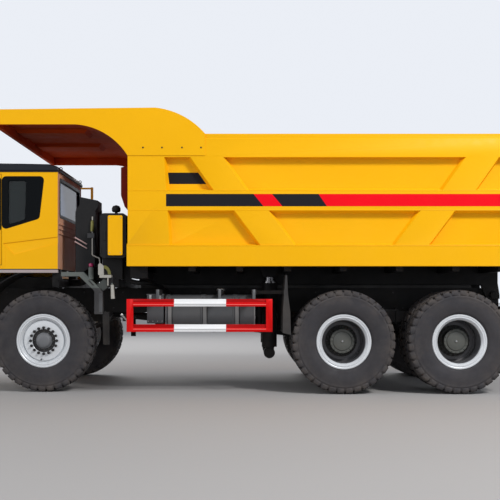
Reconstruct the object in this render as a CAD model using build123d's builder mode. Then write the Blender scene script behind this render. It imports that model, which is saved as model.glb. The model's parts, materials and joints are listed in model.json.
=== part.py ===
from build123d import *
import math
import os

os.makedirs("parts", exist_ok=True)

# A three-axle mining dump truck with its cab offset to the left.
# +X forwards, +Y to the truck's left, +Z up, in millimetres.
# The origin is on the ground, in the middle of the length and of the width.

# Plan
front_overhang = 1722       # bumper's face to the front axle
wheelbase = 4296            # front axle to the first rear axle
tandem_spacing = 1625       # first to second rear axle
rear_overhang = 1507        # second rear axle to the tail's lip
overall_width = 3700
length = front_overhang + wheelbase + tandem_spacing + rear_overhang
front_x = length / 2
tail_x = -length / 2
front_axle_x = front_x - front_overhang
rear_axle_xs = (front_axle_x - wheelbase, front_axle_x - wheelbase - tandem_spacing)
bogie_x = sum(rear_axle_xs) / 2
side_y = overall_width / 2

# Running clearances
flat_gap = 0.3              # between flat or curved faces that slide or touch
shaft_gap = 0.05            # radial, between a shaft and its bore
body_gap = 8                # between parts that pass each other

# Wheels
tyre_r = 735
tyre_w = 430
bead_r = 320                # the tyre's inner radius
rim_flange_r = 388
rim_flange_t = 22
rim_w = 332                 # over both flanges
rim_wall = 18
front_track = 2590
dual_spacing = 500          # between the middles of twin tyres
dual_track = 2730           # between the middles of the two pairs
front_wheel_y = front_track / 2
dual_y = dual_track / 2

# Frame
rail_outer_y = 480
rail_flange = 110
rail_wall = 16
rail_bottom_z = 1130
rail_top_z = 1510
rail_front_x = front_x - 275
pivot_x = -3880
pivot_z = 1400
pivot_r = 55
rail_rear_x = pivot_x - 105
pad_t = 50                  # rubber pads between the frame and the load body
guard_bar_w = 60
guard_bar_h = 105
guard_step = 22             # how far a guard bar's upper half lies back

# Load body
body_front_x = front_axle_x - 1269
body_side_length = 6061
body_rear_x = body_front_x - body_side_length
body_mid_x = (body_front_x + body_rear_x) / 2
body_top_z = 3646
body_wall = 60
rib_depth = 110
sill_proud = 8              # how far sill and canopy stand out of posts, ribs and belt
face_y = side_y - sill_proud
wall_outer_y = side_y - rib_depth
wall_inner_y = wall_outer_y - body_wall
floor_bottom_z = 1840
floor_top_z = floor_bottom_z + body_wall
floor_corner = 250          # sloped corner between floor and side
sill_bottom_z = 1797
sill_top_z = 2111
belt_bottom_z = 2576
belt_top_z = 2851
rail_low_z = 3318           # lower edge of the top rail
rail_lip_h = 62
gusset_low_z = 3339         # lower edge of the canopy's side plates
rib_flank = 33              # the sloped border of every rib, post and belt
rib_taper = math.degrees(math.atan(rib_flank / (rib_depth - sill_proud)))
tail_lift = 190             # how much the floor rises to the tail
tail_start_x = body_rear_x + 1180
beam_outer_y = 560
beam_inner_y = 390
beam_bottom_z = rail_top_z + pad_t
tilt_deg = 45

# Canopy over the cab
canopy_front_x = front_axle_x + 635
canopy_top_z = 4008
canopy_front_top_z = 3982
canopy_low_z = 3774
canopy_flat_rear_x = 2316   # where its lower edge starts to curve down
canopy_sheet_t = 50
canopy_sheet_low_z = 3900
gusset_rear_x = body_front_x - 1081
gusset_t = 60

# Hoist, one telescopic cylinder on each side
hoist_x = -420
hoist_y = 690
hoist_low_z = 520
hoist_high_z = 1730
hoist_pin_r = 45
tube_rs = (115, 99, 84, 69)  # barrel, two stages and rod, outer radii
tube_step_z = 18            # how far each tube stands out of the one around it
clevis_half = 78            # from the rod's middle to a clevis plate
clevis_t = 25

# Cab
cab_left_y = 1500
cab_width = 1720
cab_right_y = cab_left_y - cab_width
cab_rear_x = front_axle_x - 218
cab_front_x = front_axle_x + 1647
cab_floor_z = 1770
cab_top_z = 3167
cab_roof_z = 3290
cab_wall = 60
door_rear_x = front_axle_x + 593
door_front_x = cab_front_x - 190
door_gap = 8
door_bottom_z = cab_floor_z + 60
door_top_z = cab_top_z - 45
door_hinge_r = 14
hinge_zs = (1900, 2200)


def side_view(y):
    """A plane whose x is forwards and y is up; it is extruded towards the truck's right."""
    return Plane.XZ.offset(-y)


def front_view(x):
    """A plane whose x is to the left and y is up; it is extruded forwards."""
    return Plane.YZ.offset(x)


def wheel_plane(x, y, side):
    """A plane at a wheel's centre whose x is outboard and y is radial."""
    return Plane(origin=(x, y, tyre_r), x_dir=(0, side, 0), z_dir=(side, 0, 0))


def across(x, z):
    """The axis along Y through a point of the side view."""
    return Axis((x, 0, z), (0, 1, 0))


def outline(*points):
    """Fill a closed outline of straight lines in the sketch that is open."""
    with BuildLine() as border:
        Polyline(*points, close=True)
    make_face(border.edges())


def slab(x_range, y_range, z_range, mode=Mode.ADD):
    """A plain block between three pairs of limits."""
    centre = [(low + high) / 2 for low, high in (x_range, y_range, z_range)]
    sizes = [high - low for low, high in (x_range, y_range, z_range)]
    with Locations(tuple(centre)):
        Box(*sizes, mode=mode)


def bar_y(x, z, r, y_range, mode=Mode.ADD):
    """A round bar along Y."""
    with BuildSketch(side_view(y_range[1])) as section:
        with Locations((x, z)):
            Circle(r)
    extrude(section.sketch, amount=y_range[1] - y_range[0], mode=mode)


def bar_z(x, y, r, z_range, mode=Mode.ADD):
    """A round bar along Z."""
    with BuildSketch(Plane.XY.offset(z_range[0])) as section:
        with Locations((x, y)):
            Circle(r)
    extrude(section.sketch, amount=z_range[1] - z_range[0], mode=mode)


def turned(plane, *points, mode=Mode.ADD):
    """Turn an outline of (outboard, radius) points about the wheel's own axis."""
    with BuildSketch(plane) as section:
        outline(*points)
    revolve(section.sketch, axis=across(plane.origin.X, tyre_r), mode=mode)


def profile(y, width, *points, mode=Mode.ADD):
    """Extrude an outline of the side view from y towards the truck's right."""
    with BuildSketch(side_view(y)) as section:
        outline(*points)
    extrude(section.sketch, amount=width, mode=mode)


def frontal(x, depth, *points, mode=Mode.ADD):
    """Extrude an outline of the front view from x forwards."""
    with BuildSketch(front_view(x)) as section:
        outline(*points)
    extrude(section.sketch, amount=depth, mode=mode)


# Tyres
def tyre(x, y, side):
    """One tyre with bulging walls and sloped shoulders, out to the lugs' tips."""
    half = tyre_w / 2
    seat = rim_w / 2 - rim_flange_t - flat_gap
    outer_half = [
        (seat, bead_r),
        (seat, rim_flange_r + 4),
        (half, tyre_r - 215),
        (half - 14, tyre_r - 75),
        (half - 42, tyre_r),
    ]
    turned(wheel_plane(x, y, side), *outer_half, *[(-out, r) for out, r in reversed(outer_half)])


for side, sign in (("left", 1), ("right", -1)):
    with BuildPart() as front_tyre:
        tyre(front_axle_x, sign * front_wheel_y, sign)
    front_tyre.part.label = f"front_tyre_{side}"
    export_step(front_tyre.part, f"parts/front_tyre_{side}.step")


# Front wheels: rim, disc, hub and drum in one turned piece
spindle_r = 55
bore_r = spindle_r + shaft_gap
rim_half = rim_w / 2
rim_lip_r = 316             # the inner edge of the rim's face
rim_inner_r = bead_r - flat_gap - rim_wall
rim_slope = 60              # from the lip in to the barrel
front_disc_y = 95           # inner face of the disc, from the tyre's middle
disc_t = 26
front_disc_r = 287
hub_r = 150
hub_tail_y = -90
drum_r = 235
drum_wall = 20
cap_r = 108
cap_h = 58


def barrel(middle):
    """Corners of one rim's outside, from its inner flange to its outer one."""
    inner, outer = middle - rim_half, middle + rim_half
    seat_r = bead_r - flat_gap
    return [
        (inner, rim_lip_r),
        (inner, rim_flange_r),
        (inner + rim_flange_t, rim_flange_r),
        (inner + rim_flange_t, seat_r),
        (outer - rim_flange_t, seat_r),
        (outer - rim_flange_t, rim_flange_r),
        (outer, rim_flange_r),
        (outer, rim_lip_r),
    ]


for side, sign in (("left", 1), ("right", -1)):
    plane = wheel_plane(front_axle_x, sign * front_wheel_y, sign)
    disc_out = front_disc_y + disc_t
    with BuildPart() as front_rim:
        turned(plane, *barrel(0), (rim_half - rim_slope, rim_inner_r), (rim_slope - rim_half, rim_inner_r))
        turned(
            plane,
            (front_disc_y, bore_r),
            (disc_out, bore_r),
            (disc_out, front_disc_r),
            (disc_out - 30, rim_inner_r + 1),
            (disc_out - 60, rim_inner_r + 1),
            (front_disc_y, front_disc_r - 10),
        )
        turned(plane, (hub_tail_y, bore_r), (hub_tail_y, hub_r), (front_disc_y, hub_r), (front_disc_y, bore_r))
        turned(
            plane,
            (-150, drum_r - drum_wall),
            (-150, drum_r),
            (-20, drum_r),
            (-20, hub_r - 5),
            (-40, hub_r - 5),
            (-40, drum_r - drum_wall),
        )
        turned(plane, (disc_out, 0), (disc_out, cap_r), (disc_out + 30, cap_r), (disc_out + 50, 80), (disc_out + cap_h, 0))
    front_rim.part.label = f"front_rim_{side}"
    export_step(front_rim.part, f"parts/front_rim_{side}.step")

# Rear wheels: both rims of a pair with their hub
rear_spindle_r = 90
rear_bore_r = rear_spindle_r + shaft_gap
rear_disc_t = 22
rear_hub_out = 215
rear_drum_y = -200
pair_half = dual_spacing / 2 + rim_half

for number, axle_x in enumerate(rear_axle_xs, start=1):
    for side, sign in (("left", 1), ("right", -1)):
        plane = wheel_plane(axle_x, sign * dual_y, sign)
        with BuildPart() as rear_rims:
            turned(
                plane,
                *barrel(-dual_spacing / 2),
                *barrel(dual_spacing / 2)[2:],
                (pair_half - rim_slope, rim_inner_r),
                (rear_disc_t, rim_inner_r),
                (rear_disc_t, rear_bore_r),
                (-rear_disc_t, rear_bore_r),
                (-rear_disc_t, rim_inner_r),
                (rim_slope - pair_half, rim_inner_r),
            )
            turned(
                plane,
                (rear_disc_t, rear_bore_r),
                (rear_disc_t, 235),
                (rear_disc_t + 26, 235),
                (rear_disc_t + 40, 190),
                (rear_hub_out - 17, 184),
                (rear_hub_out, 170),
                (rear_hub_out, 0),
                (rear_hub_out - 60, 0),
                (rear_hub_out - 60, rear_bore_r),
            )
            turned(
                plane,
                (rear_drum_y, drum_r - 10),
                (rear_drum_y, drum_r + 10),
                (-rear_disc_t, drum_r + 10),
                (-rear_disc_t, drum_r - 10),
            )
        rear_rims.part.label = f"rear_rims_{number}_{side}"
        export_step(rear_rims.part, f"parts/rear_rims_{number}_{side}.step")

        with BuildPart() as rear_tyres:
            for from_middle in (-dual_spacing / 2, dual_spacing / 2):
                tyre(axle_x, sign * (dual_y + from_middle), sign)
        rear_tyres.part.label = f"rear_tyres_{number}_{side}"
        export_step(rear_tyres.part, f"parts/rear_tyres_{number}_{side}.step")

# Front axle and steering
kingpin_y = 1000
kingpin_r = 35
boss_r = 72
boss_h = 184
arm_t = 52
arm_gap = 6
knuckle_w = 140
web_y = kingpin_y + boss_r + body_gap
web_t = 30
steer_arm_x = 300           # from the kingpin back to the tie rod's pins
steer_arm_z = 600
tie_r = 24
tie_pin_r = 18
axle_beam_w = 110
spring_y = 430
spring_w = 90
spring_seat_z = 752

with BuildPart() as front_axle:
    beam = [(-930, 665), (-930, 805), (-700, 712), (700, 712), (930, 805), (930, 665), (700, 560), (-700, 560)]
    frontal(front_axle_x - axle_beam_w / 2, axle_beam_w, *beam)
    for sign in (-1, 1):
        y = sign * kingpin_y
        low, high = tyre_r - boss_h / 2, tyre_r + boss_h / 2
        bar_z(front_axle_x, y, boss_r, (low, high))
        slab(
            (front_axle_x - 140, front_axle_x + 140),
            (sign * spring_y - spring_w / 2, sign * spring_y + spring_w / 2),
            (700, spring_seat_z),
        )
    for sign in (-1, 1):
        bar_z(front_axle_x, sign * kingpin_y, kingpin_r + shaft_gap, (600, 900), mode=Mode.SUBTRACT)
front_axle.part.label = "front_axle"
export_step(front_axle.part, "parts/front_axle.step")


def rod(start, end, r, mode=Mode.ADD):
    """A round bar between two points."""
    path = Vector(*end) - Vector(*start)
    with BuildSketch(Plane(origin=start, z_dir=path)) as section:
        Circle(r)
    extrude(section.sketch, amount=path.length, mode=mode)


for side, sign in (("left", 1), ("right", -1)):
    with BuildPart() as knuckle:
        arm_low = tyre_r - boss_h / 2 - arm_gap
        arm_high = tyre_r + boss_h / 2 + arm_gap
        y_near, y_far = sorted((sign * (kingpin_y - 70), sign * (web_y + web_t)))
        for z in (arm_low - arm_t, arm_high):
            slab((front_axle_x - knuckle_w / 2, front_axle_x + knuckle_w / 2), (y_near, y_far), (z, z + arm_t))
        y_near, y_far = sorted((sign * web_y, sign * (web_y + web_t)))
        z_range = (arm_low - arm_t, arm_high + arm_t)
        slab((front_axle_x - knuckle_w / 2, front_axle_x + knuckle_w / 2), (y_near, y_far), z_range)
        bar_z(front_axle_x, sign * kingpin_y, kingpin_r, z_range)
        plane = wheel_plane(front_axle_x, sign * front_wheel_y, sign)
        inner = web_y + web_t - front_wheel_y
        turned(
            plane,
            (inner, 0),
            (inner, 90),
            (-160, 90),
            (-160, drum_r - drum_wall - 7),
            (-146, drum_r - drum_wall - 7),
            (-146, 70),
            (hub_tail_y - 6, 70),
            (hub_tail_y - 6, spindle_r),
            (front_disc_y + 20, spindle_r),
            (front_disc_y + 20, 0),
        )
        y_near, y_far = sorted((sign * (kingpin_y - 35), sign * (kingpin_y + 35)))
        arm_x = front_axle_x - steer_arm_x
        slab((arm_x - 35, front_axle_x), (y_near, y_far), (steer_arm_z, steer_arm_z + 30))
        bar_z(arm_x, sign * kingpin_y, tie_pin_r, (steer_arm_z - 62, steer_arm_z))
    knuckle.part.label = f"knuckle_{side}"
    export_step(knuckle.part, f"parts/knuckle_{side}.step")

with BuildPart() as tie_rod:
    tie_z = steer_arm_z - 32
    rod((arm_x, -kingpin_y, tie_z), (arm_x, kingpin_y, tie_z), tie_r)
    for sign in (-1, 1):
        bar_z(arm_x, sign * kingpin_y, 40, (tie_z - 28, steer_arm_z - flat_gap))
    for sign in (-1, 1):
        bar_z(arm_x, sign * kingpin_y, tie_pin_r + shaft_gap, (tie_z - 60, steer_arm_z + 10), mode=Mode.SUBTRACT)
tie_rod.part.label = "tie_rod"
export_step(tie_rod.part, "parts/tie_rod.step")

# Rear axles
housing_r = 110
banjo_r = 235
rear_spring_y = 620
rear_spring_w = 130
rear_pad_z = 900
nose_x = 420

for number, axle_x in enumerate(rear_axle_xs, start=1):
    with BuildPart() as rear_axle:
        plate_in = dual_y + rear_drum_y - 14
        end = dual_y + rear_hub_out - 64
        half = [(450, housing_r), (plate_in, housing_r), (plate_in, drum_r - 17), (plate_in + 14, drum_r - 17)]
        half += [(plate_in + 14, rear_spindle_r), (end, rear_spindle_r), (end, 0)]
        other_half = [(-y, r) for y, r in reversed(half)]
        turned(wheel_plane(axle_x, 0, 1), *other_half, (-200, banjo_r), (200, banjo_r), *half)
        rod((axle_x, 0, tyre_r + 30), (axle_x + nose_x, 0, tyre_r + 30), 105)
        rod((axle_x, 0, tyre_r + 30), (axle_x - 300, 0, tyre_r + 30), 70)
        for sign in (-1, 1):
            y = sign * rear_spring_y
            slab((axle_x - 110, axle_x + 110), (y - rear_spring_w / 2, y + rear_spring_w / 2), (tyre_r, rear_pad_z))
    rear_axle.part.label = f"rear_axle_{number}"
    export_step(rear_axle.part, f"parts/rear_axle_{number}.step")

shaft_r = 62
gearbox_rear_x = 2150
with BuildPart() as propshafts:
    axle_z = tyre_r + 30
    rod((gearbox_rear_x - 60, 0, 1120), (gearbox_rear_x, 0, 1120), 85)
    rod((gearbox_rear_x - 30, 0, 1120), (rear_axle_xs[0] + nose_x + 90, 0, axle_z + 22), shaft_r)
    rod((rear_axle_xs[0] + nose_x + 100, 0, axle_z), (rear_axle_xs[0] + nose_x, 0, axle_z), 95)
    rod((rear_axle_xs[0] - 300, 0, axle_z), (rear_axle_xs[1] + nose_x, 0, axle_z), shaft_r)
propshafts.part.label = "propshafts"
export_step(propshafts.part, "parts/propshafts.step")

# Leaf springs: each is (middle x, y, half length, middle's underside, ends' underside, thickness)
front_spring_half = 820
rear_spring_half = tandem_spacing / 2 + 90
rear_spring_mid_z = 985
spring_table = [
    (front_axle_x, spring_y, front_spring_half, spring_seat_z, 1060, 100, spring_w),
    (bogie_x, rear_spring_y, rear_spring_half, rear_spring_mid_z, rear_pad_z, 170, rear_spring_w),
]
leaf_count = 5

with BuildPart() as leaf_springs:
    for x, y, half, mid_z, end_z, thick, width in spring_table:
        leaf = thick / leaf_count
        main_z = mid_z if end_z < mid_z else mid_z + thick - leaf
        rise = (end_z - main_z) / half**2
        for sign in (-1, 1):
            for level in range(leaf_count):
                from_main = level if end_z < mid_z else leaf_count - 1 - level
                if end_z < mid_z:
                    reach = half * (1 - 0.13 * level)
                else:
                    reach = half * (1 - 0.16 * from_main)
                low = mid_z + level * leaf
                tip = low + rise * reach**2
                with BuildSketch(side_view(sign * y + width / 2)) as section:
                    with BuildLine() as border:
                        ThreePointArc((x - reach, tip), (x, low), (x + reach, tip))
                        ThreePointArc((x - reach, tip + leaf), (x, low + leaf), (x + reach, tip + leaf))
                        Line((x - reach, tip), (x - reach, tip + leaf))
                        Line((x + reach, tip), (x + reach, tip + leaf))
                    make_face(border.edges())
                extrude(section.sketch, amount=width)
leaf_springs.part.label = "leaf_springs"
export_step(leaf_springs.part, "parts/leaf_springs.step")

# Chassis frame
cross_r = 60
guard_arm_xs = (1165, 300, -180)
cross_xs = (4180, 2020, 900, -900, -3350)
hanger_t = 40
hanger_y = rail_outer_y + hanger_t
saddle_x = bogie_x
saddle_r = 72
saddle_z = 910
platform_x = (1750, 1920)   # cross beam behind the cab
platform_z = (rail_top_z, rail_top_z + 110)
cab_rest_xs = ((2660, 2760), (4180, cab_front_x - 60))

inner_y = rail_outer_y - rail_flange
web_y_in = rail_outer_y - rail_wall
pivot_boss_r = 105
with BuildPart() as chassis_frame:
    # Two rails of C section, each with a boss for the shaft that the load body tilts on
    for sign in (-1, 1):
        corners = [
            (inner_y, rail_bottom_z),
            (rail_outer_y, rail_bottom_z),
            (rail_outer_y, rail_top_z),
            (inner_y, rail_top_z),
            (inner_y, rail_top_z - rail_wall),
            (web_y_in, rail_top_z - rail_wall),
            (web_y_in, rail_bottom_z + rail_wall),
            (inner_y, rail_bottom_z + rail_wall),
        ]
        frontal(rail_rear_x, rail_front_x - rail_rear_x, *[(sign * y, z) for y, z in corners])
        y_near, y_far = sorted((sign * inner_y, sign * (rail_outer_y + 6)))
        bar_y(pivot_x, pivot_z, pivot_boss_r, (y_near, y_far))
        bar_y(pivot_x, pivot_z, pivot_r + shaft_gap, (y_near - 1, y_far + 1), mode=Mode.SUBTRACT)
chassis_frame.part.label = "chassis_frame"
export_step(chassis_frame.part, "parts/chassis_frame.step")

pivot_shaft_y = rail_outer_y + 140
with BuildPart() as cross_members:
    mid_z = (rail_bottom_z + rail_top_z) / 2
    for x in cross_xs:
        bar_y(x, mid_z, cross_r, (-web_y_in, web_y_in))
    # Beam above the springs' saddle, the tail's plate and the tilting shaft
    slab((saddle_x - 180, saddle_x + 180), (-web_y_in, web_y_in), (rail_bottom_z + 20, rail_bottom_z + 220))
    slab((rail_rear_x, rail_rear_x + 30), (-inner_y, inner_y), (rail_bottom_z, rail_top_z))
    bar_y(pivot_x, pivot_z, pivot_r, (-pivot_shaft_y, pivot_shaft_y))
cross_members.part.label = "cross_members"
export_step(cross_members.part, "parts/cross_members.step")

saddle_plate_half = 240
saddle_shaft_y = 700
bracket_top_z = rail_top_z - 30
bracket_foot = 65           # below and around the hoist's lower pin
hoist_pin_y = hoist_y + 95
with BuildPart() as frame_brackets:
    for sign in (-1, 1):
        # Plates below the rails, with a bore for the springs' saddle
        y_near, y_far = sorted((sign * (rail_outer_y - 90), sign * rail_outer_y))
        profile(y_far, y_far - y_near, (saddle_x - saddle_plate_half, rail_bottom_z),
                (saddle_x + saddle_plate_half, rail_bottom_z), (saddle_x + 90, saddle_z - 80), (saddle_x - 90, saddle_z - 80))
        bar_y(saddle_x, saddle_z, saddle_r + shaft_gap, (y_near - 1, y_far + 1), mode=Mode.SUBTRACT)
        # Hangers at the ends of the front springs
        for end in (-1, 1):
            x = front_axle_x + end * (front_spring_half - 30)
            y = sign * spring_y
            slab((x - 50, x + 50), (y - spring_w / 2, y + spring_w / 2), (rail_bottom_z - 50, rail_bottom_z))
        # Plates outside the rails, with the pin and its cap that carry the hoist's barrel
        y_near, y_far = sorted((sign * rail_outer_y, sign * hanger_y))
        profile(y_far, y_far - y_near, (hoist_x - 140, bracket_top_z), (hoist_x + 140, bracket_top_z),
                (hoist_x + 70, hoist_low_z - bracket_foot), (hoist_x - 70, hoist_low_z - bracket_foot))
        bar_y(hoist_x, hoist_low_z, hoist_pin_r, sorted((sign * rail_outer_y, sign * hoist_pin_y)))
        bar_y(hoist_x, hoist_low_z, bracket_foot, sorted((sign * (hoist_pin_y - 27), sign * hoist_pin_y)))
    # The saddle's shaft and the posts that carry the rear springs
    bar_y(saddle_x, saddle_z, saddle_r, (-saddle_shaft_y, saddle_shaft_y))
    for sign in (-1, 1):
        y = sign * rear_spring_y
        slab((saddle_x - 60, saddle_x + 60), (y - 75, y + 75), (saddle_z, rear_spring_mid_z - 0.7))
frame_brackets.part.label = "frame_brackets"
export_step(frame_brackets.part, "parts/frame_brackets.step")

arm_z = (1400, 1470)
arm_end_y = side_y - guard_bar_w
with BuildPart() as outriggers:
    # Beams across the frame, for the platform behind the cab and the cab's front and rear rest
    slab(platform_x, (-1450, 1560), platform_z)
    slab(cab_rest_xs[0], (-1300, 1300), platform_z)
    slab(cab_rest_xs[1], (0, 1300), platform_z)
    slab((cab_rest_xs[1][0], rail_front_x - 10), (-1300, 0), platform_z)
    # Arms that carry the side guards, tanks and boxes
    for x in guard_arm_xs:
        slab((x - 35, x + 35), (-arm_end_y, -rail_outer_y), arm_z)
        slab((x - 35, x + 35), (rail_outer_y, arm_end_y), arm_z)
outriggers.part.label = "outriggers"
export_step(outriggers.part, "parts/outriggers.step")

pad_xs = (1350, 500, -450, -1500, -2600, -3450)
with BuildPart() as body_pads:
    for sign in (-1, 1):
        for x in pad_xs:
            y_near, y_far = sorted((sign * (beam_inner_y + 5), sign * (rail_outer_y - 5)))
            slab((x - 90, x + 90), (y_near, y_far), (rail_top_z, beam_bottom_z))
body_pads.part.label = "body_pads"
export_step(body_pads.part, "parts/body_pads.step")

with BuildPart() as engine_block:
    slab((2950, 4050), (-250, 250), (960, 1690))
    slab((gearbox_rear_x, 2950), (-210, 210), (980, 1400))
engine_block.part.label = "engine_block"
export_step(engine_block.part, "parts/engine_block.step")

# Cab
cab_outline = [
    (cab_rear_x, cab_floor_z),
    (cab_rear_x, cab_top_z),
    (cab_front_x - 150, cab_top_z),
    (cab_front_x - 20, 2400),
    (cab_front_x, 2330),
    (cab_front_x, cab_floor_z),
]
cab_inner = [
    (cab_rear_x + cab_wall, cab_floor_z + cab_wall),
    (cab_rear_x + cab_wall, cab_top_z - cab_wall),
    (cab_front_x - 150 - cab_wall, cab_top_z - cab_wall),
    (cab_front_x - 20 - cab_wall, 2400),
    (cab_front_x - cab_wall, 2330),
    (cab_front_x - cab_wall, cab_floor_z + cab_wall),
]
door_outline = [
    (door_rear_x, door_bottom_z),
    (door_rear_x, door_top_z),
    (door_front_x - 130, door_top_z),
    (door_front_x - 5, 2400),
    (door_front_x, 2330),
    (door_front_x, door_bottom_z),
]
door_window = [
    (door_rear_x + 85, 2345),
    (door_rear_x + 85, door_top_z - 75),
    (door_front_x - 215, door_top_z - 75),
    (door_front_x - 95, 2420),
    (door_front_x - 95, 2290),
]
side_window = [(2835, 3092), (3385, 3092), (3385, 2350), (2905, 2500)]
rear_window = (-80, 1360, 2540, 3070)
screen = (-110, 1390, 2440, 3075)
window_r = 45
glass_t = 8
crease_depth = 12
crease = [(cab_rear_x - 1, 2231), (door_rear_x - 30, 2135), (door_rear_x - 180, 1975), (cab_rear_x - 1, 2137)]


def rounded(plane, amount, r, *points, mode=Mode.ADD):
    """Extrude an outline whose corners are rounded."""
    with BuildSketch(plane) as section:
        outline(*points)
        fillet(section.vertices(), radius=r)
    extrude(section.sketch, amount=amount, mode=mode)


def window_corners(low_y, high_y, low_z, high_z):
    return [(low_y, low_z), (high_y, low_z), (high_y, high_z), (low_y, high_z)]


def grown(points, by):
    """Move each corner of a convex outline away from its middle by a fixed amount."""
    middle_x = sum(x for x, _ in points) / len(points)
    middle_z = sum(z for _, z in points) / len(points)
    return [(x + math.copysign(by, x - middle_x), z + math.copysign(by, z - middle_z)) for x, z in points]


with BuildPart() as cab_shell:
    profile(cab_left_y, cab_width, *cab_outline)
    profile(cab_left_y - cab_wall, cab_width - 2 * cab_wall, *cab_inner, mode=Mode.SUBTRACT)
    profile(cab_left_y + 1, cab_wall + 2, *grown(door_outline, door_gap), mode=Mode.SUBTRACT)
    rounded(side_view(cab_left_y + 1), cab_wall + 2, window_r, *side_window, mode=Mode.SUBTRACT)
    rounded(side_view(cab_right_y + cab_wall + 1), cab_wall + 2, window_r, *side_window, mode=Mode.SUBTRACT)
    rounded(front_view(cab_rear_x - 1), cab_wall + 2, window_r, *window_corners(*rear_window), mode=Mode.SUBTRACT)
    rounded(front_view(cab_front_x - 260), 300, window_r, *window_corners(*screen), mode=Mode.SUBTRACT)
    # Shallow channel pressed into the side behind the door
    profile(cab_left_y + 1, crease_depth + 1, *crease, mode=Mode.SUBTRACT)
    for z in hinge_zs:
        rod((door_front_x + 14, cab_left_y + 14, z), (door_front_x + 14, cab_left_y + 14, z + 60), door_hinge_r)
        slab((door_front_x + 10, door_front_x + 70), (cab_left_y - 1, cab_left_y + 8), (z, z + 60))
    # Feet on the frame
    for x in (sum(cab_rest_xs[0]) / 2, sum(cab_rest_xs[1]) / 2):
        for y in (60, 1200):
            slab((x - 60, x + 60), (y - 60, y + 60), (rail_top_z + 110, cab_floor_z))
cab_shell.part.label = "cab_shell"
export_step(cab_shell.part, "parts/cab_shell.step")

fender_r = cab_floor_z - tyre_r - flat_gap
fender_t = 14
fender_y = (980, cab_left_y)
fender_angles = (94, 40)   # degrees above the front, at the rear and the front end
with BuildPart() as cab_fender:
    with BuildSketch(side_view(fender_y[1])) as section:
        with BuildLine() as border:
            ends = []
            for r in (fender_r, fender_r - fender_t):
                rear, middle, front = [
                    (front_axle_x + r * math.cos(math.radians(angle)), tyre_r + r * math.sin(math.radians(angle)))
                    for angle in (fender_angles[0], sum(fender_angles) / 2, fender_angles[1])
                ]
                ThreePointArc(rear, middle, front)
                ends.append((rear, front))
            for outer_end, inner_end in zip(*ends):
                Line(outer_end, inner_end)
        make_face(border.edges())
    extrude(section.sketch, amount=fender_y[1] - fender_y[0])
cab_fender.part.label = "cab_fender"
export_step(cab_fender.part, "parts/cab_fender.step")

with BuildPart() as cab_roof:
    roof = [
        (cab_rear_x - 40, cab_top_z),
        (cab_rear_x, cab_top_z + 75),
        (cab_rear_x + 130, cab_roof_z - 15),
        (cab_rear_x + 900, cab_roof_z),
        (cab_front_x - 300, cab_roof_z - 20),
        (cab_front_x - 90, cab_top_z + 50),
        (cab_front_x - 60, cab_top_z),
    ]
    profile(cab_left_y + 8, cab_width + 16, *roof)
cab_roof.part.label = "cab_roof"
export_step(cab_roof.part, "parts/cab_roof.step")

with BuildPart() as cab_door_left:
    profile(cab_left_y, cab_wall, *door_outline)
    rounded(side_view(cab_left_y + 1), cab_wall + 2, window_r, *door_window, mode=Mode.SUBTRACT)
    for z in hinge_zs:
        z_low = z + 60 + flat_gap
        rod((door_front_x + 14, cab_left_y + 14, z_low), (door_front_x + 14, cab_left_y + 14, z_low + 60), door_hinge_r)
        slab((door_front_x - 60, door_front_x), (cab_left_y - 1, cab_left_y + 8), (z_low, z_low + 60))
        slab((door_front_x - 1, door_front_x + 14), (cab_left_y + 3, cab_left_y + 8), (z_low, z_low + 60))
cab_door_left.part.label = "cab_door_left"
export_step(cab_door_left.part, "parts/cab_door_left.step")

with BuildPart() as door_glass:
    rounded(side_view(cab_left_y - 20), glass_t, window_r, *door_window)
door_glass.part.label = "door_glass"
export_step(door_glass.part, "parts/door_glass.step")

with BuildPart() as windscreen:
    lean = 130 / (cab_top_z - 2400)
    low, high = screen[2], screen[3]
    x_low = cab_front_x - 20 - (low - 2400) * lean - 35
    x_high = cab_front_x - 20 - (high - 2400) * lean - 35
    profile(screen[1], screen[1] - screen[0], (x_low, low), (x_low + glass_t, low), (x_high + glass_t, high),
            (x_high, high))
    rounded(front_view(cab_front_x - 260), 300, window_r, *window_corners(*screen), mode=Mode.INTERSECT)

with BuildPart() as cab_glass:
    add(windscreen.part)
    rounded(side_view(cab_left_y - 20), glass_t, window_r, *side_window)
    rounded(side_view(cab_right_y + 28), glass_t, window_r, *side_window)
    rounded(front_view(cab_rear_x + 20), glass_t, window_r, *window_corners(*rear_window))
cab_glass.part.label = "cab_glass"
export_step(cab_glass.part, "parts/cab_glass.step")

# Cab's inside
seat_y = 1000
seat_x = 3250
with BuildPart() as driver_seat:
    slab((seat_x - 250, seat_x + 280), (seat_y - 260, seat_y + 260), (2190, 2330))
    slab((seat_x - 160, seat_x + 160), (seat_y - 180, seat_y + 180), (cab_floor_z + cab_wall, 2190))
    profile(seat_y + 250, 500, (seat_x - 190, 2330), (seat_x - 250, 2330), (seat_x - 370, 2930), (seat_x - 250, 2930))
driver_seat.part.label = "driver_seat"
export_step(driver_seat.part, "parts/driver_seat.step")

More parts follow.
